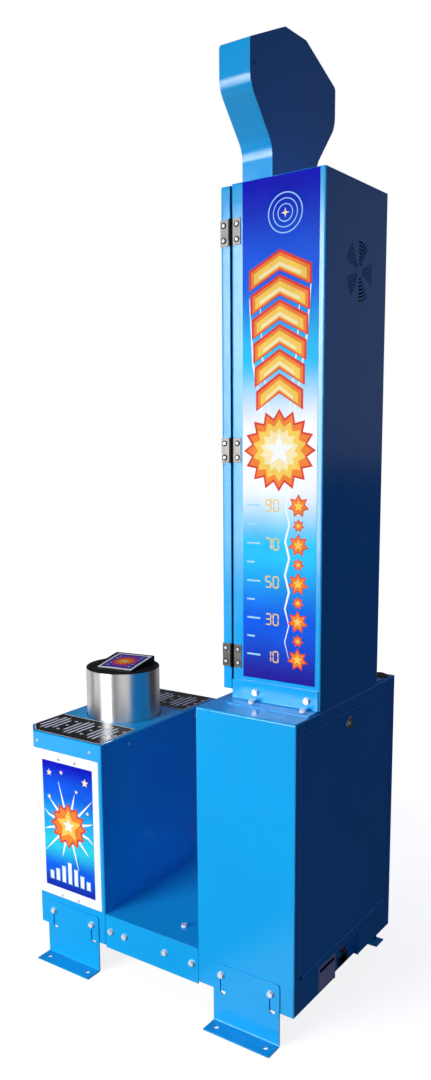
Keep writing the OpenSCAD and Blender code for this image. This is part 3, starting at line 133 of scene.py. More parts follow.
def remap(nt, value, lo, hi, a=0.3, b=0.7, smooth=False):
    """lo where value is a or less, and hi where it is b or more."""
    r = nt.nodes.new("ShaderNodeMapRange")
    if smooth:
        r.interpolation_type = "SMOOTHSTEP"
    for key, number in (("From Min", a), ("From Max", b), ("To Min", lo), ("To Max", hi)):
        r.inputs[key].default_value = number
    nt.links.new(value, r.inputs["Value"])
    return r.outputs[0]


def math_node(nt, operation, first, second=None):
    """first and second are sockets, or second is a number."""
    node = nt.nodes.new("ShaderNodeMath")
    node.operation = operation
    nt.links.new(first, node.inputs[0])
    if isinstance(second, (int, float)):
        node.inputs[1].default_value = second
    elif second is not None:
        nt.links.new(second, node.inputs[1])
    return node.outputs[0]


def mix_colour(nt, fac, a, b):
    m = nt.nodes.new("ShaderNodeMix")
    m.data_type = "RGBA"
    nt.links.new(fac, m.inputs[0])
    for socket, c in ((m.inputs[6], a), (m.inputs[7], b)):
        if isinstance(c, (tuple, list)):
            socket.default_value = (*c[:3], 1)
        else:
            nt.links.new(c, socket)
    return m.outputs[2]


def bump(nt, height, strength, distance, normal=None):
    b = nt.nodes.new("ShaderNodeBump")
    b.inputs["Strength"].default_value = strength
    b.inputs["Distance"].default_value = distance
    nt.links.new(height, b.inputs["Height"])
    if normal is not None:
        nt.links.new(normal, b.inputs["Normal"])
    return b.outputs[0]


def finish_surface(
    nt, bsdf, colour, rough, metal=0.0, spec=0.5, coat=0.0, vary=0.06, vary_scale=6.0,
    grain=300.0, grain_depth=0.00005, grain_strength=0.15, stretch=None, rough_vary=0.06,
    edge=0.0008,
):
    """Colour variation, roughness variation, a fine bump and softened edges."""
    big = object_noise(nt, vary_scale, 4.0)
    if isinstance(colour, (tuple, list)):
        dark = tuple(c * (1 - vary) for c in colour[:3])
        light = tuple(min(1, c * (1 + vary)) for c in colour[:3])
        col = mix_colour(nt, remap(nt, big, 0, 1), dark, light)
    else:
        col = colour
    nt.links.new(col, bsdf.inputs["Base Color"])
    fine = object_noise(nt, grain, 2.0, stretch)
    smudge = object_noise(nt, 23.0, 5.0)
    nt.links.new(
        remap(nt, smudge, max(0.02, rough - rough_vary), rough + rough_vary),
        bsdf.inputs["Roughness"],
    )
    normal = None
    if edge > 0:
        bev = nt.nodes.new("ShaderNodeBevel")
        bev.samples = 4
        bev.inputs["Radius"].default_value = edge
        normal = bev.outputs[0]
    nt.links.new(bump(nt, fine, grain_strength, grain_depth, normal), bsdf.inputs["Normal"])
    bsdf.inputs["Metallic"].default_value = metal
    bsdf.inputs["Specular IOR Level"].default_value = spec
    bsdf.inputs["Coat Weight"].default_value = coat
    bsdf.inputs["Coat Roughness"].default_value = 0.08


def material(name, colour, rough, **kw):
    m, nt, bsdf = new_material(name)
    finish_surface(nt, bsdf, colour, rough, **kw)
    return m


def ramp_z(nt, z0, z1, stops):
    """Colour ramp up an object's height, in metres."""
    c = nt.nodes.new("ShaderNodeValToRGB")
    c.color_ramp.interpolation = "EASE"
    while len(c.color_ramp.elements) < len(stops):
        c.color_ramp.elements.new(0.5)
    for e, (p, col) in zip(c.color_ramp.elements, stops):
        e.position = p
        e.color = (*col, 1)
    nt.links.new(remap(nt, object_axis(nt, 2), 0, 1, z0, z1), c.inputs[0])
    return c.outputs[0]


def picture_material(name, z0, z1, stops):
    m, nt, bsdf = new_material(name)
    cloud = object_noise(nt, 9.0, 5.0)
    base = ramp_z(nt, z0, z1, stops)
    col = nt.nodes.new("ShaderNodeHueSaturation")
    nt.links.new(remap(nt, cloud, 0.9, 1.1), col.inputs["Value"])
    nt.links.new(base, col.inputs["Color"])
    finish_surface(
        nt, bsdf, col.outputs[0], 0.28, spec=0.025, grain=900, grain_strength=0.06, edge=0.0004
    )
    return m


def height_split(name, z, below, above):
    """A finish under the height z and another over it, each as (colour, metallic, roughness)."""
    m, nt, bsdf = new_material(name)
    over = math_node(nt, "GREATER_THAN", object_axis(nt, 2), z)
    cloud = object_noise(nt, 60, 3.0)
    shades = []
    for colour, _, _ in (below, above):
        dark = tuple(c * 0.9 for c in colour)
        shades.append(mix_colour(nt, remap(nt, cloud, 0, 1), dark, colour))
    finish_surface(
        nt, bsdf, mix_colour(nt, over, *shades), below[2],
        grain=600, grain_strength=0.2, edge=0.0005,
    )
    nt.links.new(remap(nt, over, below[1], above[1], 0, 1), bsdf.inputs["Metallic"])
    rough = remap(nt, over, below[2], above[2], 0, 1)
    rough = math_node(nt, "ADD", rough, remap(nt, cloud, -0.06, 0.06))
    nt.links.new(rough, bsdf.inputs["Roughness"])
    return m


def hinge_material():
    """Worn steel leaves, with painted shade making the barrel between them nearly black."""
    m, nt, bsdf = new_material("hinge_steel")
    off_axis = math_node(nt, "SUBTRACT", object_axis(nt, 1), BARREL_Y / 1000)
    # Painted shade: near black on the barrel, blending to the worn steel of the leaves
    leaf_past_barrel_shade = remap(nt, math_node(nt, "ABSOLUTE", off_axis), 0, 1, BARREL_SHADE_R / 1000, LEAF_FROM / 1000)
    wear = remap(nt, object_noise(nt, 40, 4.0), 0, 1)
    worn = mix_colour(nt, wear, (0.10, 0.095, 0.092), (0.13, 0.125, 0.12))
    finish_surface(
        nt, bsdf, mix_colour(nt, leaf_past_barrel_shade, (0.012, 0.012, 0.012), worn), 0.32, metal=1,
        grain=120, stretch=(10, 10, 1), grain_strength=0.25, rough_vary=0.07, edge=0.0005,
    )
    return m


def post_material():
    """Brushed steel with streaks up the post, and reflections drawn out round it."""
    m, nt, bsdf = new_material("post_brushed_steel")
    streaks = object_noise(nt, 26.0, 4.0, stretch=(1, 1, 0.02), rough=0.7)
    streaks = remap(nt, streaks, 0, 1, 0.38, 0.62)
    finish_surface(
        nt, bsdf, mix_colour(nt, streaks, (0.62, 0.62, 0.63), (0.86, 0.85, 0.83)), 0.33, metal=1,
        grain=60, stretch=(1, 1, 22), grain_depth=0.00004, grain_strength=0.1,
        rough_vary=0.03, edge=0.0012,
    )
    bsdf.inputs["Anisotropic"].default_value = 0.85
    bsdf.inputs["Anisotropic Rotation"].default_value = 0.25
    around = nt.nodes.new("ShaderNodeTangent")
    around.direction_type = "RADIAL"
    around.axis = "Z"
    nt.links.new(around.outputs[0], bsdf.inputs["Tangent"])
    return m


def rule_plate_material():
    m, nt, bsdf = new_material("rule_plate_black")
    finish_surface(
        nt, bsdf, (0.006, 0.006, 0.007), 0.2, vary=0.2, vary_scale=25,
        grain=800, grain_strength=0.05, edge=0.0004,
    )
    bsdf.inputs["IOR"].default_value = 1.25
    return m


def window_material():
    m, nt, bsdf = new_material("smoked_window")
    finish_surface(nt, bsdf, (0.30, 0.32, 0.36), 0.07, grain=300, grain_strength=0.03)
    bsdf.inputs["Transmission Weight"].default_value = 0.92
    bsdf.inputs["IOR"].default_value = 1.3
    return m


def lit_material():
    m, nt, bsdf = new_material("lit_red")
    finish_surface(nt, bsdf, (0.9, 0.05, 0.03), 0.3, grain=700, edge=0)
    bsdf.inputs["Emission Color"].default_value = (1.0, 0.06, 0.03, 1)
    bsdf.inputs["Emission Strength"].default_value = 2.0
    return m


BLUE = (0.008, 0.40, 0.86)
ZINC = (0.84, 0.87, 0.90)
WORN_STEEL = (0.115, 0.11, 0.108)
paint = material(
    "blue_gloss_paint", BLUE, 0.16, grain=260, grain_depth=0.00006,
    grain_strength=0.22, vary=0.035, vary_scale=3.0, rough_vary=0.05, edge=0.0015,
)
zinc = material(
    "zinc_plated", ZINC, 0.34, metal=0.25, vary=0.12, vary_scale=60, grain=700,
    grain_strength=0.2, rough_vary=0.1, edge=0.0006,
)
hinge_steel = hinge_material()
# The service door's painted pin is under the first height, and the head's painted screws over the second
PIN_SPLIT_Z = 0.5
SCREW_SPLIT_Z = 2.0
pin_finish = height_split("hinge_pin_finish", PIN_SPLIT_Z, (BLUE, 0, 0.18), (WORN_STEEL, 1, 0.32))
screw_finish = height_split("screw_finish", SCREW_SPLIT_Z, (ZINC, 0.25, 0.34), (BLUE, 0, 0.18))
stainless = material(
    "stainless", (0.66, 0.66, 0.65), 0.3, metal=1, vary=0.06, vary_scale=40, grain=120,
    stretch=(10, 10, 1), grain_strength=0.25, rough_vary=0.07, edge=0.0005,
)
brushed = post_material()
chrome = material(
    "lock_chrome_plate", (0.78, 0.78, 0.77), 0.12, metal=1, vary=0.04, grain=500,
    grain_strength=0.08, rough_vary=0.05, edge=0.0005,
)
brass = material(
    "lock_plug_brass", (0.80, 0.74, 0.55), 0.3, metal=1, vary=0.1, vary_scale=80, grain=600,
    grain_strength=0.15, edge=0.0004,
)
# Painted shade for the screws' cross recesses
recess_shade_steel = material(
    "screw_recess_shade", (0.16, 0.16, 0.17), 0.34, metal=1, vary=0.15, vary_scale=90, grain=600,
    grain_strength=0.2, edge=0.0004,
)
black_plastic = material(
    "black_plastic", (0.018, 0.018, 0.02), 0.38, spec=0.45, vary=0.15, vary_scale=30,
    grain=1300, grain_strength=0.3, rough_vary=0.08, edge=0.0006,
)
rubber = material(
    "black_rubber", (0.010, 0.011, 0.013), 0.5, spec=0.12, vary=0.25, vary_scale=18, grain=900,
    grain_depth=0.00012, grain_strength=0.35, rough_vary=0.12, edge=0.0014,
)
red_lens = material(
    "red_lens", (0.75, 0.03, 0.02), 0.18, coat=0.5, vary=0.08, grain=500, edge=0.0005
)
amber_lens = material(
    "amber_lens", (0.95, 0.55, 0.05), 0.2, coat=0.4, vary=0.08, grain=500, edge=0.0006
)
green_board = material(
    "circuit_board", (0.02, 0.2, 0.07), 0.35, vary=0.3, vary_scale=120, grain=900,
    grain_strength=0.4, edge=0.0002,
)
digit_body = material(
    "digit_body", (0.10, 0.012, 0.01), 0.3, vary=0.1, grain=700, edge=0.0004
)
grey_steel = material(
    "grey_painted_steel", (0.18, 0.19, 0.20), 0.42, spec=0.4, vary=0.1, grain=420,
    grain_strength=0.25, edge=0.001,
)
spring_steel = material(
    "spring_steel", (0.34, 0.35, 0.37), 0.34, metal=1, vary=0.15, vary_scale=60, grain=500,
    grain_strength=0.2, edge=0,
)
sensor_blue = material(
    "sensor_blue", (0.04, 0.14, 0.42), 0.35, spec=0.4, vary=0.08, grain=700, edge=0.0006
)
bronze = material(
    "bronze_bush", (0.55, 0.36, 0.13), 0.34, metal=1, vary=0.12, vary_scale=70, grain=500,
    grain_strength=0.2, edge=0.0004,
)
olive = material(
    "olive_bronze_paint", (0.12, 0.105, 0.045), 0.36, spec=0.45, vary=0.25, vary_scale=40,
    grain=300, grain_strength=0.3, edge=0.001,
)
label_plate = material(
    "label_film", (0.86, 0.87, 0.88), 0.42, spec=0.3, vary=0.05, vary_scale=20,
    grain=90, stretch=(1, 1, 14), grain_strength=0.15, edge=0.0002,
)
light_panel = material(
    "light_panel_white", (0.86, 0.88, 0.90), 0.4, spec=0.4, vary=0.03, grain=500, edge=0.0006
)
acrylic = material(
    "sign_acrylic", (0.82, 0.87, 0.95), 0.14, coat=0.3, vary=0.03, grain=400,
    grain_strength=0.05, edge=0.0008,
)
black_print = rule_plate_material()
smoked = window_material()
lit_red = lit_material()

# The materials of the CAD nodes that stay
CAD_MATERIALS = [
    (paint, "base_cabinet service_door service_hinge_leaf service_door_leaf power_pocket"),
    (paint, "tower_cabinet tower_back tower_door tower_foot_angles head_shell"),
    (paint, "pad_cabinet pad_cover floor_pan foot_brackets"),
    (zinc, "hex_bolts door_screws"),
    (screw_finish, "screws"),
    (pin_finish, "hinge_pins"),
    (hinge_steel, "tower_hinge_leaves door_hinge_leaves"),
    (stainless, "coin_plate guide_shaft"),
    (chrome, "service_lock_body tower_lock_body"),
    (brass, "service_lock_cam tower_lock_cam inlet_pins"),
    (black_plastic, "power_inlet switch_bezel fan_frame fan_rotor button_bezel speaker"),
    (black_plastic, "coin_mech return_flap"),
    (red_lens, "switch_rocker reject_button"),
    (amber_lens, "start_button lamp_leds"),
    (grey_steel, "power_supply coin_box guide_frame"),
    (label_plate, "rating_label strike_plate"),
    (olive, "tether_anchor"),
    (green_board, "control_board display_boards"),
    (digit_body, "digit_modules"),
    (smoked, "door_windows"),
    (acrylic, "head_front"),
    (light_panel, "head_light_panel"),
    (black_print, "rule_plates"),
    (bronze, "guide_bushes"),
    (rubber, "rubber_buffers strike_pad"),
    (sensor_blue, "impact_sensor"),
    (brushed, "strike_post"),
]
for mat, names in CAD_MATERIALS:
    for name in names.split():
        slots = nodes[name].data.materials
        slots.clear()
        slots.append(mat)

# Print inks, each as (colour, how much it varies, the scale of that)
INKS = {
    "white": ((0.93, 0.95, 0.97), 0.03, 6),
    "pale_blue": ((0.35, 0.70, 0.95), 0.05, 6),
    "yellow": ((0.98, 0.62, 0.10), 0.10, 20),
    "cream": ((0.98, 0.82, 0.45), 0.06, 20),
    "orange": ((0.92, 0.24, 0.04), 0.12, 20),
    "red": ((0.75, 0.05, 0.04), 0.10, 20),
    "navy": ((0.015, 0.02, 0.12), 0.10, 6),
    "violet": ((0.16, 0.06, 0.42), 0.10, 30),
}
ink = {
    name: material(
        "ink_" + name, colour, 0.28, spec=0.025, vary=vary, vary_scale=scale,
        grain=900, grain_strength=0.05, edge=0,
    )
    for name, (colour, vary, scale) in INKS.items()
}
ink["silver"] = material(
    "ink_silver", (0.66, 0.68, 0.70), 0.3, metal=0.8, vary=0.05,
    grain=900, grain_strength=0.05, edge=0,
)

# The grounds of the pictures, each a ramp of colours up its height
DEEP = (0.006, 0.008, 0.50)
MID = (0.008, 0.11, 0.78)
CYAN = (0.02, 0.55, 0.95)
WHITE = (0.94, 0.96, 0.98)
tower_print = picture_material(
    "tower_print", 0.811, 1.875,
    [(0.0, (0.02, 0.015, 0.30)), (0.12, MID), (0.28, CYAN), (0.42, WHITE), (0.52, WHITE),
     (0.66, CYAN), (0.82, MID), (1.0, DEEP)],
)
poster_print = picture_material(
    "poster_print", 0.193, 0.537,
    [(0.0, (0.01, 0.03, 0.42)), (0.16, MID), (0.36, (0.03, 0.62, 0.78)), (0.55, (0.02, 0.42, 0.85)),
     (0.78, MID), (1.0, DEEP)],
)


def add_object(name, data):
    obj = bpy.data.objects.new(name, data)
    bpy.context.scene.collection.objects.link(obj)
    return obj


# Flat artwork: prisms laid on one plane
class Layer:
    """Collects flat shapes as thin prisms. place(a, b, d) gives the point in millimetres."""

    def __init__(self, place, flip=False):
        self.place = place
        self.flip = flip
        self.verts = []
        self.faces = []
        self.marks = []
        self.inks = []

    def slot_of(self, mat):
        if mat not in self.inks:
            self.inks.append(mat)
        return self.inks.index(mat)

    def add_face(self, ids, mat):
        self.faces.append(list(reversed(ids)) if self.flip else list(ids))
        self.marks.append(self.slot_of(mat))

    def fan(self, pts, mat, d0, d1):
        """A shape that is star-shaped round its middle, from depth d0 to d1."""
        n = len(pts)
        cx = sum(p[0] for p in pts) / n
        cy = sum(p[1] for p in pts) / n
        s = len(self.verts)
        for d in (d0, d1):
            self.verts += [self.place(x, y, d) for x, y in pts]
        self.verts += [self.place(cx, cy, d0), self.place(cx, cy, d1)]
        for i in range(n):
            j = (i + 1) % n
            self.add_face([s + 2 * n + 1, s + n + i, s + n + j], mat)
            self.add_face([s + 2 * n, s + j, s + i], mat)
            self.add_face([s + i, s + j, s + n + j, s + n + i], mat)

    def strip(self, left, right, mat, d0, d1, closed=False):
        """A band between two lines of points."""
        n = len(left)
        s = len(self.verts)
        for d in (d0, d1):
            for line in (left, right):
                self.verts += [self.place(x, y, d) for x, y in line]
        for i in range(n if closed else n - 1):
            j = (i + 1) % n
            l0, l1, r0, r1 = s + i, s + j, s + n + i, s + n + j
            k = 2 * n
            self.add_face([l0 + k, r0 + k, r1 + k, l1 + k], mat)
            self.add_face([l0, l1, r1, r0], mat)
            self.add_face([l0, l0 + k, l1 + k, l1], mat)
            self.add_face([r0, r1, r1 + k, r0 + k], mat)
        if not closed:
            for i in (0, n - 1):
                l0, r0, k = s + i, s + n + i, 2 * n
                ids = [l0, r0, r0 + k, l0 + k]
                self.add_face(ids if i == 0 else list(reversed(ids)), mat)

    def star(self, cx, cy, r, mat, d, n=5, inner=0.45, thick=0.12):
        """A star of n points, one of them up. inner is the valleys' share of the radius r."""
        pts = []
        for k in range(2 * n):
            q = r if k % 2 == 0 else r * inner
            a = math.radians(90 + k * 180 / n)
            pts.append((cx + q * math.cos(a), cy + q * math.sin(a)))
        self.fan(pts, mat, d, d + thick)

    def ring(self, cx, cy, r0, r1, mat, d, n=64, thick=0.12):
        ang = [2 * math.pi * k / n for k in range(n)]
        inner = [(cx + r0 * math.cos(a), cy + r0 * math.sin(a)) for a in ang]
        outer = [(cx + r1 * math.cos(a), cy + r1 * math.sin(a)) for a in ang]
        self.strip(inner, outer, mat, d, d + thick, closed=True)

    def rect(self, x0, y0, x1, y1, mat, d, thick=0.12):
        self.fan([(x0, y0), (x1, y0), (x1, y1), (x0, y1)], mat, d, d + thick)

    def border(self, x0, y0, x1, y1, w, mat, d, thick=0.12):
        inner = [(x0 + w, y0 + w), (x1 - w, y0 + w), (x1 - w, y1 - w), (x0 + w, y1 - w)]
        outer = [(x0, y0), (x1, y0), (x1, y1), (x0, y1)]
        self.strip(inner, outer, mat, d, d + thick, closed=True)

    def line(self, pts, widths, mat, d, thick=0.12):
        """A line through the points, with one width for each point."""
        left, right = [], []
        for i, p in enumerate(pts):
            a = Vector(pts[max(0, i - 1)])
            b = Vector(pts[min(len(pts) - 1, i + 1)])
            t = (b - a).normalized()
            n = Vector((-t.y, t.x)) * widths[i] / 2
            left.append((p[0] + n.x, p[1] + n.y))
            right.append((p[0] - n.x, p[1] - n.y))
        self.strip(left, right, mat, d, d + thick)

    def chevron(self, cx, cy, w, h, t, mat, d, thick=0.12):
        """A V upside down, pointing along +b."""
        left = [(cx - w / 2, cy), (cx, cy + h), (cx + w / 2, cy)]
        right = [(x, y - t) for x, y in left]
        self.strip(right, left, mat, d, d + thick)

    def digit(self, cx, cy, h, value, mat, d, thick=0.12, lean=0.0):
        """A seven-segment figure of height h."""
        w = h * 0.52
        t = h * 0.13
        g = t * 0.12
        segs = {
            "a": ((-w / 2, h / 2), (w / 2, h / 2)), "g": ((-w / 2, 0), (w / 2, 0)),
            "d": ((-w / 2, -h / 2), (w / 2, -h / 2)), "f": ((-w / 2, 0), (-w / 2, h / 2)),
            "b": ((w / 2, 0), (w / 2, h / 2)), "e": ((-w / 2, -h / 2), (-w / 2, 0)),
            "c": ((w / 2, -h / 2), (w / 2, 0)),
        }
        lit = {
            "0": "abcdef", "1": "bc", "2": "abged", "3": "abgcd", "4": "fgbc", "5": "afgcd",
            "6": "afgedc", "7": "abc", "8": "abcdefg", "9": "abcdfg",
        }[value]
        for key, (p, q) in segs.items():
            if key not in lit:
                continue
            along = Vector(q) - Vector(p)
            u = along.normalized()
            v = Vector((-u.y, u.x)) * t / 2
            p0 = Vector(p) + u * g
            q0 = Vector(q) - u * g
            p1 = p0 + u * t / 2
            q1 = q0 - u * t / 2
            pts = [p0, p1 - v, q1 - v, q0, q1 + v, p1 + v]
            self.fan([(cx + z.x + z.y * lean, cy + z.y) for z in pts], mat, d, d + thick)

    def number(self, cx, cy, h, text, mat, d, **kw):
        """A plain number in seven-segment figures."""
        step = h * 0.78
        for i, c in enumerate(text):
            self.digit(cx + (i - (len(text) - 1) / 2) * step, cy, h, c, mat, d, **kw)

    def build(self, name, body):
        mesh = bpy.data.meshes.new(name)
        mesh.from_pydata([Vector(v) / 1000 for v in self.verts], [], self.faces)
        for m in self.inks:
            mesh.materials.append(m)
        for p, k in zip(mesh.polygons, self.marks):
            p.material_index = k
        mesh.validate()
        mesh.update()
        obj = add_object(name, mesh)
        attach(obj, body)
        return obj


def side_place(x, s, mid):
    """Plane facing +X (s = 1) or -X (s = -1), turned about mid. a runs to its right, b up."""
    return lambda a, b, d: (s * (x + d), mid + s * (a - mid), b)


def front_place(y):
    """Plane facing the player. a runs along X, b along Z."""
    return lambda a, b, d: (a, y - d, b)


def top_place(z):
    return lambda a, b, d: (a, b, z + d)


# The tower's side pictures. Lines, scale and shapes name the depths at which these lie on the panel
TOWER_PICTURE = (208.25, 389.25, 811, 1877)
TOWER_LINES = 0.7
TOWER_SCALE = 0.74
TOWER_SHAPES = 0.78
RINGS_Z = 1802
CHEVRONS_Z = 1446
CHEVRON_STEP = 50
BURST_Z = 1320
SCALE_Z = 866
SCALE_STEP = 42


def layered_chevron(L, cy, z, w):
    """One chevron with a red rim and paler bands inside it."""
    L.chevron(cy, z, w + 14, 36, 42, ink["red"], TOWER_SHAPES, thick=0.02)
    L.chevron(cy, z - 4, w + 4, 34, 33, ink["orange"], TOWER_SHAPES + 0.02, thick=0.04)
    L.chevron(cy, z - 8, w - 10, 31, 22, ink["yellow"], TOWER_SHAPES + 0.06, thick=0.04)
    L.chevron(cy, z - 13, w - 34, 24, 8, ink["cream"], TOWER_SHAPES + 0.10, thick=0.04)


def scale_mark(L, cy, z, number):
    """A tick and a small star, or with a number a longer tick and a larger star."""
    L.rect(cy - 80, z - 2, cy - (46 if number else 60), z + 2, ink["pale_blue"], TOWER_SCALE, thick=0.04)
    if number:
        L.number(cy - 16, z, 24, number, ink["yellow"], TOWER_SCALE, thick=0.06)
    radii = (26, 21, 12) if number else (15, 11, 6)
    L.star(cy + 48, z, radii[0], ink["red"], TOWER_SHAPES, n=7, inner=0.6, thick=0.03)
    L.star(cy + 48, z, radii[1], ink["orange"], TOWER_SHAPES + 0.03, n=7, inner=0.6, thick=0.04)
    L.star(cy + 48, z, radii[2], ink["yellow"], TOWER_SHAPES + 0.07, thick=0.04)


def tower_art(s):
    name = "tower_picture_right" if s > 0 else "tower_picture_left"
    y0, y1, z0, z1 = TOWER_PICTURE
    cy = (y0 + y1) / 2
    L = Layer(side_place(TOWER_X, s, cy))
    L.rect(y0, z0, y1, z1, tower_print, 0, thick=TOWER_LINES)
    # Rays that widen away from the white middle
    for k, (dx, w) in enumerate([(-64, 5), (-42, 3.5), (42, 3.5), (64, 5)]):
        ray = [(cy + dx * 0.25, 1290), (cy + dx, 1500 + 18 * k), (cy + dx * 1.15, 1640 + 9 * k)]
        L.line(ray, [1, w, 1.5], ink["white"], TOWER_LINES, thick=0.04)
    # A zigzag between the scale's numbers and its stars
    zigzag = [(cy + (16 if k % 2 else 26), 1236 - 37 * k) for k in range(11)]
    L.line(zigzag, [1, 3, 4, 5, 5, 5, 5, 4, 3, 2, 1], ink["white"], TOWER_LINES, thick=0.04)
    for r0, r1 in ((38, 40.5), (27, 29), (16, 18)):
        L.ring(cy + 12, RINGS_Z, r0, r1, ink["pale_blue"], TOWER_LINES, thick=0.04)
    L.star(cy + 12, RINGS_Z, 10, ink["cream"], TOWER_LINES, n=4, inner=0.3, thick=0.04)
    for k in range(6):
        layered_chevron(L, cy, CHEVRONS_Z + k * CHEVRON_STEP, 100 + k * 7)
    burst = ((16, 88, "red"), (16, 80, "orange"), (14, 66, "yellow"), (14, 48, "cream"))
    for k, (n, r, m) in enumerate(burst):
        L.star(cy, BURST_Z, r, ink[m], TOWER_SHAPES + 0.04 * k, n=n, inner=0.78, thick=0.04)
    L.star(cy, BURST_Z, 36, ink["white"], TOWER_SHAPES + 0.16, n=5, inner=0.42, thick=0.04)
    for k in range(9):
        number = str(10 + 10 * k) if k % 2 == 0 else None
        scale_mark(L, cy, SCALE_Z + k * SCALE_STEP, number)
    return L.build(name, "machine")


for s in (1, -1):
    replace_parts(tower_art(s), "tower_pictures")


# The posters on the pad cabinet's sides: a white sheet, the print's depth on it and the shapes' on that
POSTER_SHEET = (-357.25, -147.25, 167, 564)
POSTER_PRINT = 0.72
POSTER_SHAPES = 0.78
POSTER_PRINT_ZS = (193, 537)
POSTER_PRINT_HALF = 85
POSTER_STAR_Z = 372
POSTER_BARS = (24, 34, 46, 60, 46, 34, 24)
POSTER_STARS = (
    (-62, 505, 10), (60, 500, 12), (-20, 512, 7), (30, 470, 6), (-64, 440, 7), (66, 420, 6)
)


def poster_art(s):
    name = "poster_right" if s > 0 else "poster_left"
    y0, y1, z0, z1 = POSTER_SHEET
    cy = (y0 + y1) / 2
    low, high = POSTER_PRINT_ZS
    half = POSTER_PRINT_HALF
    mid = POSTER_STAR_Z
    d = POSTER_SHAPES
    L = Layer(side_place(SIDE_X, s, cy))
    L.rect(y0, z0, y1, z1, ink["white"], 0, thick=POSTER_PRINT)
    L.rect(cy - half, low, cy + half, high, poster_print, POSTER_PRINT, thick=0.06)
    for k in range(12):
        a = math.radians(15 + k * 30)
        pts = [(cy + q * math.cos(a), mid + q * math.sin(a)) for q in (50, 70)]
        r1 = 118 if k % 2 else 92
        tip_y = min(max(cy + r1 * math.cos(a), cy - half + 3), cy + half - 3)
        pts.append((tip_y, min(mid + r1 * math.sin(a), high - 5)))
        L.line(pts, [7, 5, 1], ink["white"], d, thick=0.06)
    L.star(cy, mid, 62, ink["red"], d, n=12, inner=0.74, thick=0.06)
    L.star(cy, mid, 54, ink["orange"], d + 0.06, n=12, inner=0.74, thick=0.06)
    L.star(cy, mid, 42, ink["yellow"], d + 0.1, n=5, inner=0.5, thick=0.05)
    L.star(cy, mid, 20, ink["white"], d + 0.14, n=5, inner=0.45, thick=0.05)
    for k, h in enumerate(POSTER_BARS):
        x = cy + (k - 3) * 21
        L.rect(x - 7, 212, x + 7, 212 + h, ink["pale_blue"], d, thick=0.06)
        L.rect(x - 5, 214, x + 5, 210 + h, ink["white"], d + 0.06, thick=0.05)
    for x, z, r in POSTER_STARS:
        L.star(cy + x, z, r, ink["cream"], d, thick=0.06)
    return L.build(name, "machine")


for s in (1, -1):
    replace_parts(poster_art(s), "pad_posters")

# The black plates on the pad cover: a border along the plate's edge, groups of pointed bars and stars
PLATE_OUTER = [(105.8, -400.0), (216.1, -400.0), (253.7, -362.4), (253.7, -145.5), (105.8, -145.5)]
PLATE_INNER = [(108.6, -397.2), (214.9, -397.2), (250.9, -361.2), (250.9, -148.3), (108.6, -148.3)]
PLATE_MIDDLE = 178
GROUP_YS = [-382, -300, -218]
BAR_SPANS = [38, 54, 54, 38]
BAR_STEP = 15
BAR_WIDTH = 6.2
BAR_TIP = 0.6
STARS_PAST = 63.5


def plate_marks(s):
    L = Layer(top_place(PAD_TOP + 1))
    inner, outer = ([(s * x, y) for x, y in loop][::s] for loop in (PLATE_INNER, PLATE_OUTER))
    L.strip(inner, outer, ink["white"], 0, 0.12, closed=True)
    middle = s * PLATE_MIDDLE
    for start in GROUP_YS:
        for row, span in enumerate(BAR_SPANS):
            ends = [(middle + x, start + row * BAR_STEP) for x in (-span, 8 - span, span - 8, span)]
            L.line(ends, [BAR_TIP, BAR_WIDTH, BAR_WIDTH, BAR_TIP], ink["white"], 0)
        for x in (-36, 0, 36):
            L.star(middle + x, start + STARS_PAST, 7, ink["white"], 0, n=4, inner=0.4)
    L.build("plate_marks_right" if s > 0 else "plate_marks_left", "machine")


for s in (1, -1):
    plate_marks(s)

# The picture on the strike plate, on the wedge's slope and turned with it
SLOPE = math.atan(14 / 137)
TURN = math.radians(9)
WEDGE_TOE = 65
WEDGE_TOE_H = 3.05
PLATE_THICK = 1
PLATE_BACK = 3
PLATE_ASIDE = 5.5


def slope_place(a, b, d):
    """Plane of the strike plate. a runs down the slope, b across it."""
    ahead = Vector((math.cos(TURN), math.sin(TURN), 0))
    across = Vector((-math.sin(TURN), math.cos(TURN), 0))
    run = ahead * math.cos(SLOPE) - Vector((0, 0, math.sin(SLOPE)))
    out = ahead * math.sin(SLOPE) + Vector((0, 0, math.cos(SLOPE)))
    rise = (WEDGE_TOE + PLATE_BACK) * math.tan(SLOPE)
    origin = Vector((0, POST_Y, CAP_TOP + WEDGE_TOE_H + rise))
    origin += ahead * -PLATE_BACK + across * PLATE_ASIDE
    return tuple(origin + run * a + across * b + out * (PLATE_THICK + d))


L = Layer(slope_place)
L.rect(-52, -45.5, 52, 45.5, ink["navy"], 0, thick=0.1)
L.rect(-46, -40, 46, 40, ink["violet"], 0.1, thick=0.06)
L.star(0, 0, 40, ink["red"], 0.16, n=12, inner=0.66, thick=0.06)
L.star(0, 0, 31, ink["orange"], 0.22, n=12, inner=0.62, thick=0.06)
L.star(0, 0, 16, ink["yellow"], 0.28, n=5, inner=0.5, thick=0.06)
for y in (-33, 33):
    for x in (-36, -18, 18, 36):
        L.star(x, y, 4.5, ink["pale_blue"], 0.16, thick=0.06)
L.build("strike_picture", "strike_post")

# The blank form on the label beside the inlet
LABEL_THICK = 0.3
L = Layer(lambda a, b, d: (a, BACK_Y + LABEL_THICK + d, b), flip=True)
L.border(58, 88, 138, 145, 0.8, ink["navy"], 0, thick=0.05)
for z in (97, 106, 115, 124):
    L.rect(62, z, 134, z + 0.6, ink["navy"], 0, thick=0.05)
L.rect(96, 97, 96.6, 124.6, ink["navy"], 0, thick=0.05)
L.rect(62, 130, 134, 140, ink["navy"], 0, thick=0.05)
L.build("label_form", "machine")

# The return spring, a coil of round wire.
# SPRING_WIRE is the wire's radius
SPRING_TURNS = 8
SPRING_WIRE = 3


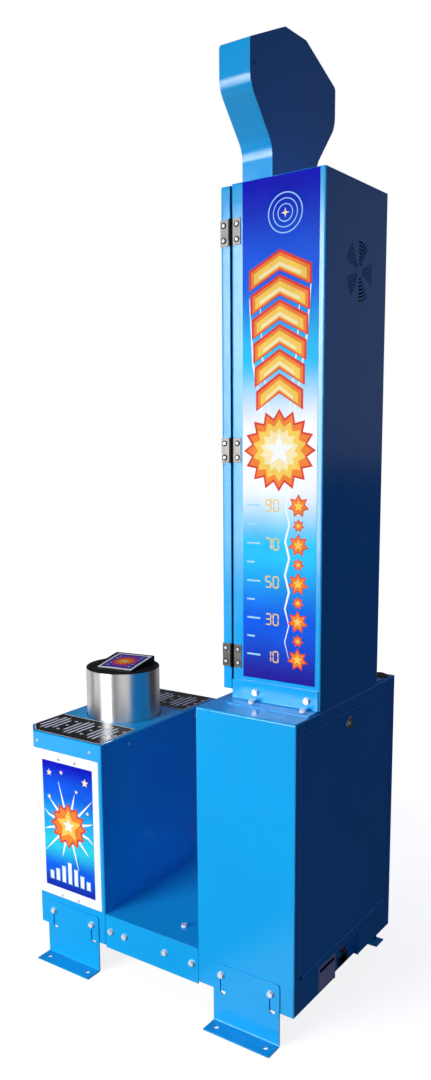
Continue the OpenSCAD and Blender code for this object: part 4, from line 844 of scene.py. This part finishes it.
def coil_spring():
    low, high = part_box("return_spring")
    wire = SPRING_WIRE / 1000
    coil = (high.x - low.x) / 2 - wire
    around, across = 36, 12
    steps = SPRING_TURNS * around
    verts = []
    for i in range(steps + 1):
        a = 2 * math.pi * i / around
        z = low.z + wire + (high.z - low.z - 2 * wire) * i / steps
        for j in range(across):
            b = 2 * math.pi * j / across
            r = coil + wire * math.cos(b)
            y = POST_Y / 1000 + r * math.sin(a)
            verts.append((r * math.cos(a), y, z + wire * math.sin(b)))
    faces = [list(range(across)), list(reversed(range(steps * across, len(verts))))]
    for i in range(0, steps * across, across):
        for j in range(across):
            k = (j + 1) % across
            faces.append([i + j, i + across + j, i + across + k, i + k])
    mesh = bpy.data.meshes.new("spring_coil")
    mesh.from_pydata(verts, [], faces)
    mesh.materials.append(spring_steel)
    for p in mesh.polygons[2:]:
        p.use_smooth = True
    obj = add_object("spring_coil", mesh)
    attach(obj, "machine")
    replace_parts(obj, "return_spring")
    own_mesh(obj)


coil_spring()

# Lit figures, lamps' scale and window trims on the tower door
DIGIT_STEP = 57.3
DIGIT_H = 56
DIGIT_DEEP = 5.25
L = Layer(front_place(DOOR_OUT + DIGIT_DEEP))
for k, c in enumerate("888"):
    L.digit((k - 1) * DIGIT_STEP, SCORE_Z, DIGIT_H, c, lit_red, 0, thick=0.1, lean=0.08)
L.build("score_figures", "tower_door")

# The windows as (middle, width, height), and the number of lamps and the height that they span
WINDOWS = ((SCORE_Z, 190, 104), (LIGHT_Z, 60, 480))
LAMPS = 12
LAMPS_H = 430
L = Layer(front_place(DOOR_OUT))
for cz, w, h in WINDOWS:
    for rim, width, mat, thick in ((7, 7, black_plastic, 1.2), (12, 3, ink["silver"], 0.15)):
        x = w / 2 + rim
        z = h / 2 + rim
        L.border(-x, cz - z, x, cz + z, width, mat, 0, thick=thick)
for k in range(LAMPS):
    z = LIGHT_Z - LAMPS_H / 2 + k * LAMPS_H / (LAMPS - 1)
    L.rect(46, z - 1.6, 62 if k % 2 else 72, z + 1.6, ink["white"], 0)
    L.rect(-72 if k % 2 == 0 else -62, z - 1.6, -46, z + 1.6, ink["white"], 0)
    if k % 2:
        L.number(92, z, 20, str(k * 75 + 75), ink["white"], 0)
L.build("door_trims", "tower_door")

# The sign head's front
L = Layer(front_place(SIGN_Y))
for points, r, m, d in ((18, 92, "red", 0), (18, 84, "orange", 0.1), (16, 68, "yellow", 0.2)):
    L.star(0, SIGN_Z, r, ink[m], d, n=points, inner=0.8, thick=0.1)
L.star(0, SIGN_Z, 44, ink["white"], 0.3, n=5, inner=0.42, thick=0.1)
for s in (-1, 1):
    for k in range(3):
        x, z = s * (118 + 22 * k), SIGN_Z + 50 - 34 * k
        L.star(x, z, 12 - 2 * k, ink["violet"], 0)
        L.star(x, z, 8 - 2 * k, ink["pale_blue"], 0.12)
L.build("sign_picture", "machine")

# Cross recesses in the screw heads, drawn as thin crosses on the heads: the shape is the recess, and its
# dark colour is painted shade
CROSS_LONG = 2.3
CROSS_WIDE = 0.45


def cross_marks(name, places, body):
    """places: (point, outward axis) in millimetres, the point on top of the head."""
    L = Layer(None)
    for p, axis in places:
        w = Vector(axis)
        u = w.orthogonal().normalized()
        v = w.cross(u)
        for a, b in ((CROSS_LONG, CROSS_WIDE), (CROSS_WIDE, CROSS_LONG)):
            L.place = lambda x, y, d, p=p, u=u, v=v, w=w: tuple(Vector(p) + u * x + v * y + w * d)
            L.fan([(-a, -b), (a, -b), (a, b), (-a, b)], recess_shade_steel, -0.02, 0.05)
    return L.build(name, body)


def leaf_screws(y):
    """The screws at y in the leaves of the three tower hinges."""
    return [
        ((LEAF_X + SCREW_HEAD, y, z + dz), (1, 0, 0))
        for z in HINGE_ZS for dz in (-LEAF_SCREW_Z, LEAF_SCREW_Z)
    ]


spots = []
for y in COVER_SCREW_YS:
    for s in (1, -1):
        spots.append(((s * (COVER_X + SCREW_HEAD), y, COVER_SCREW_Z), (s, 0, 0)))
for x in (-COVER_SCREW_X, COVER_SCREW_X):
    spots.append(((x, PAD_BACK + SCREW_HEAD, COVER_SCREW_Z), (0, 1, 0)))
for s in (1, -1):
    for y in POSTER_SCREW_YS:
        for z in POSTER_SCREW_ZS:
            spots.append(((s * (POSTER_FACE_X + SCREW_HEAD), y, z), (s, 0, 0)))
spots += leaf_screws(HINGE_Y + LEAF_SCREW_Y)
for x in (-HEAD_SCREW_X, HEAD_SCREW_X):
    spots.append(((x, HEAD_BACK_Y + SCREW_HEAD, HEAD_SCREW_Z), (0, 1, 0)))
cross_marks("screw_recesses", spots, "machine")
cross_marks("door_screw_recesses", leaf_screws(HINGE_Y - LEAF_SCREW_Y), "tower_door")

# Painted shade: dark rings round the screws of the tower hinges, thin black sheets for the shade round the
# screw heads
SHADE_RING_IN = 4.05
SHADE_RING_OUT = 6.6
for name, side, body in (("leaf_shade_rings_fixed", 1, "machine"), ("leaf_shade_rings_door", -1, "tower_door")):
    L = Layer(side_place(LEAF_X, 1, 0))
    for z in HINGE_ZS:
        for dz in (-LEAF_SCREW_Z, LEAF_SCREW_Z):
            L.ring(HINGE_Y + side * LEAF_SCREW_Y, z + dz, SHADE_RING_IN, SHADE_RING_OUT, rubber, 0, n=32, thick=0.15)
    L.build(name, body)

# Floor, background and lights. The directions lead from the object to the white backdrop, to the grey
# end of the room behind the camera, to the wall and the floor at the camera's left and to the far wall
BACKDROP = (-0.45, -0.89, 0.0)
GREY_END = (0.77, 0.63, 0.0)
SIDE_WALL = (0.16, -0.98, 0.0)
SIDE_FLOOR = (0.66, -0.75, 0.0)
FAR_WALL = (-0.993, -0.12, 0.0)
DOWN = (0.0, 0.0, -1.0)
WHITE_LIGHT = (1, 1, 1)
FILL_LIGHT = (0.40, 0.46, 1.0)
FLOOR_HALF = 40
FLOOR_Z = -0.0005


def vector_math(nt, operation, vector, other=None):
    node = nt.nodes.new("ShaderNodeVectorMath")
    node.operation = operation
    nt.links.new(vector, node.inputs[0])
    if other is not None:
        node.inputs[1].default_value = other
    return node.outputs["Vector" if operation == "NORMALIZE" else "Value"]


def toward(nt, vector, way, a, b, top):
    """0 where the vector's part along way is under a, up to top where it is over b."""
    return remap(nt, vector_math(nt, "DOT_PRODUCT", vector, way), 0.0, top, a, b, smooth=True)


def total(nt, first, *others):
    for other in others:
        first = math_node(nt, "ADD", first, other)
    return first


def by_ray(nt, other, glossy, camera, out):
    """One shader for camera rays, one for glossy and transmission rays, one for all others."""
    path = nt.nodes.new("ShaderNodeLightPath")
    is_glossy = math_node(
        nt, "MAXIMUM", path.outputs["Is Glossy Ray"], path.outputs["Is Transmission Ray"]
    )
    first = other
    for fac, shader in ((is_glossy, glossy), (path.outputs["Is Camera Ray"], camera)):
        mix = nt.nodes.new("ShaderNodeMixShader")
        nt.links.new(fac, mix.inputs[0])
        nt.links.new(first, mix.inputs[1])
        nt.links.new(shader, mix.inputs[2])
        first = mix.outputs[0]
    nt.links.new(first, out.inputs[0])


def matt(nt, grey):
    node = nt.nodes.new("ShaderNodeBsdfDiffuse")
    node.inputs["Color"].default_value = (grey, grey, grey, 1)
    return node.outputs[0]


def lit_floor(nt, grey, strength):
    """A diffuse floor of the given grey that also gives off light of its own."""
    add = nt.nodes.new("ShaderNodeAddShader")
    emit = nt.nodes.new("ShaderNodeEmission")
    nt.links.new(strength, emit.inputs["Strength"])
    nt.links.new(emit.outputs[0], add.inputs[0])
    nt.links.new(matt(nt, grey), add.inputs[1])
    return add.outputs[0]


def floor_material():
    """White to the camera, dark to diffuse rays, and brighter in some directions to glossy ones."""
    m = bpy.data.materials.new("floor_white")
    nt = empty_tree(m)
    place = nt.nodes.new("ShaderNodeTexCoord").outputs["Object"]
    distance = vector_math(nt, "LENGTH", place)
    way = vector_math(nt, "NORMALIZE", place)
    side_floor = math_node(
        nt, "MULTIPLY", remap(nt, distance, 0.0, 1.0, 0.5, 3.2, smooth=True),
        toward(nt, way, SIDE_FLOOR, 0.93, 0.992, 1.2),
    )
    reflected = total(
        nt,
        toward(nt, way, BACKDROP, 0.62, 0.92, 0.5),
        toward(nt, way, GREY_END, 0.80, 0.95, 0.65),
        toward(nt, way, SIDE_WALL, 0.70, 0.97, 0.3),
        side_floor,
        toward(nt, way, FAR_WALL, 0.90, 0.98, 0.3),
        0.015,
    )
    seen = remap(nt, distance, 0.86, 1.0, 0.6, 2.4, smooth=True)
    by_ray(
        nt, matt(nt, 0.06), lit_floor(nt, 0.05, reflected), lit_floor(nt, 0.42, seen),
        nt.nodes.new("ShaderNodeOutputMaterial"),
    )
    return m


def background(nt, colour, strength):
    node = nt.nodes.new("ShaderNodeBackground")
    node.inputs["Color"].default_value = (*colour, 1)
    if isinstance(strength, (int, float)):
        node.inputs["Strength"].default_value = strength
    else:
        nt.links.new(strength, node.inputs["Strength"])
    return node.outputs[0]


def studio_world():
    world = bpy.data.worlds.new("studio")
    nt = empty_tree(world)
    way = nt.nodes.new("ShaderNodeTexCoord").outputs["Generated"]
    reflected = total(
        nt,
        toward(nt, way, BACKDROP, 0.92, 0.995, 0.4),
        toward(nt, way, GREY_END, 0.80, 0.95, 0.65),
        toward(nt, way, DOWN, -0.45, -0.1, 0.12),
        0.07,
    )
    by_ray(
        nt, background(nt, FILL_LIGHT, 0.2), background(nt, WHITE_LIGHT, reflected),
        background(nt, WHITE_LIGHT, 1.0), nt.nodes.new("ShaderNodeOutputWorld"),
    )
    return world


def area_light(name, place, target, size, power, spread):
    """A square lamp at place that faces target, with its spread in degrees."""
    data = bpy.data.lights.new(name, "AREA")
    data.shape = "RECTANGLE"
    data.size = size
    data.size_y = size
    data.energy = power
    data.spread = math.radians(spread)
    obj = add_object(name, data)
    obj.location = place
    obj.rotation_mode = "QUATERNION"
    obj.rotation_quaternion = (Vector(target) - Vector(place)).to_track_quat("-Z", "Y")


floor_mesh = bpy.data.meshes.new("floor")
corners = [(-1, -1), (1, -1), (1, 1), (-1, 1)]
floor_mesh.from_pydata([(x * FLOOR_HALF, y * FLOOR_HALF, FLOOR_Z) for x, y in corners], [], [[0, 1, 2, 3]])
floor = add_object("floor", floor_mesh)
floor_mesh.materials.append(floor_material())
bpy.context.scene.world = studio_world()
area_light("key", (4.9, -1.5, 1.6), (0, 0, 0.6), 2.6, 52, 70)
area_light("top", (0.6, -0.4, 5.2), (0, 0, 0.6), 1.6, 10, 120)

# Camera at the photograph's viewing angle, solved from the object's straight edges
CAMERA_PLACE = Vector((1.94376, 1.31740, 1.34886))
CAMERA_RIGHT = Vector((-0.60595594, 0.79528567, -0.01838751))
CAMERA_UP = Vector((-0.14330115, -0.08639149, 0.98590126))
CAMERA_BACK = Vector((0.78248462, 0.60004768, 0.16631479))
cam_data = bpy.data.cameras.new("camera")
cam_data.sensor_fit = "VERTICAL"
cam_data.sensor_height = 36
cam_data.lens = 31.4318
cam_data.shift_x = 0.0609
cam_data.shift_y = 0.0540
cam_data.clip_start = 0.05
cam_data.clip_end = 200
cam = add_object("camera", cam_data)
turn = Matrix((CAMERA_RIGHT, CAMERA_UP, CAMERA_BACK)).transposed().to_4x4()
turn.translation = CAMERA_PLACE
cam.matrix_world = turn
bpy.context.scene.camera = cam
bpy.context.scene.view_settings.view_transform = "Standard"
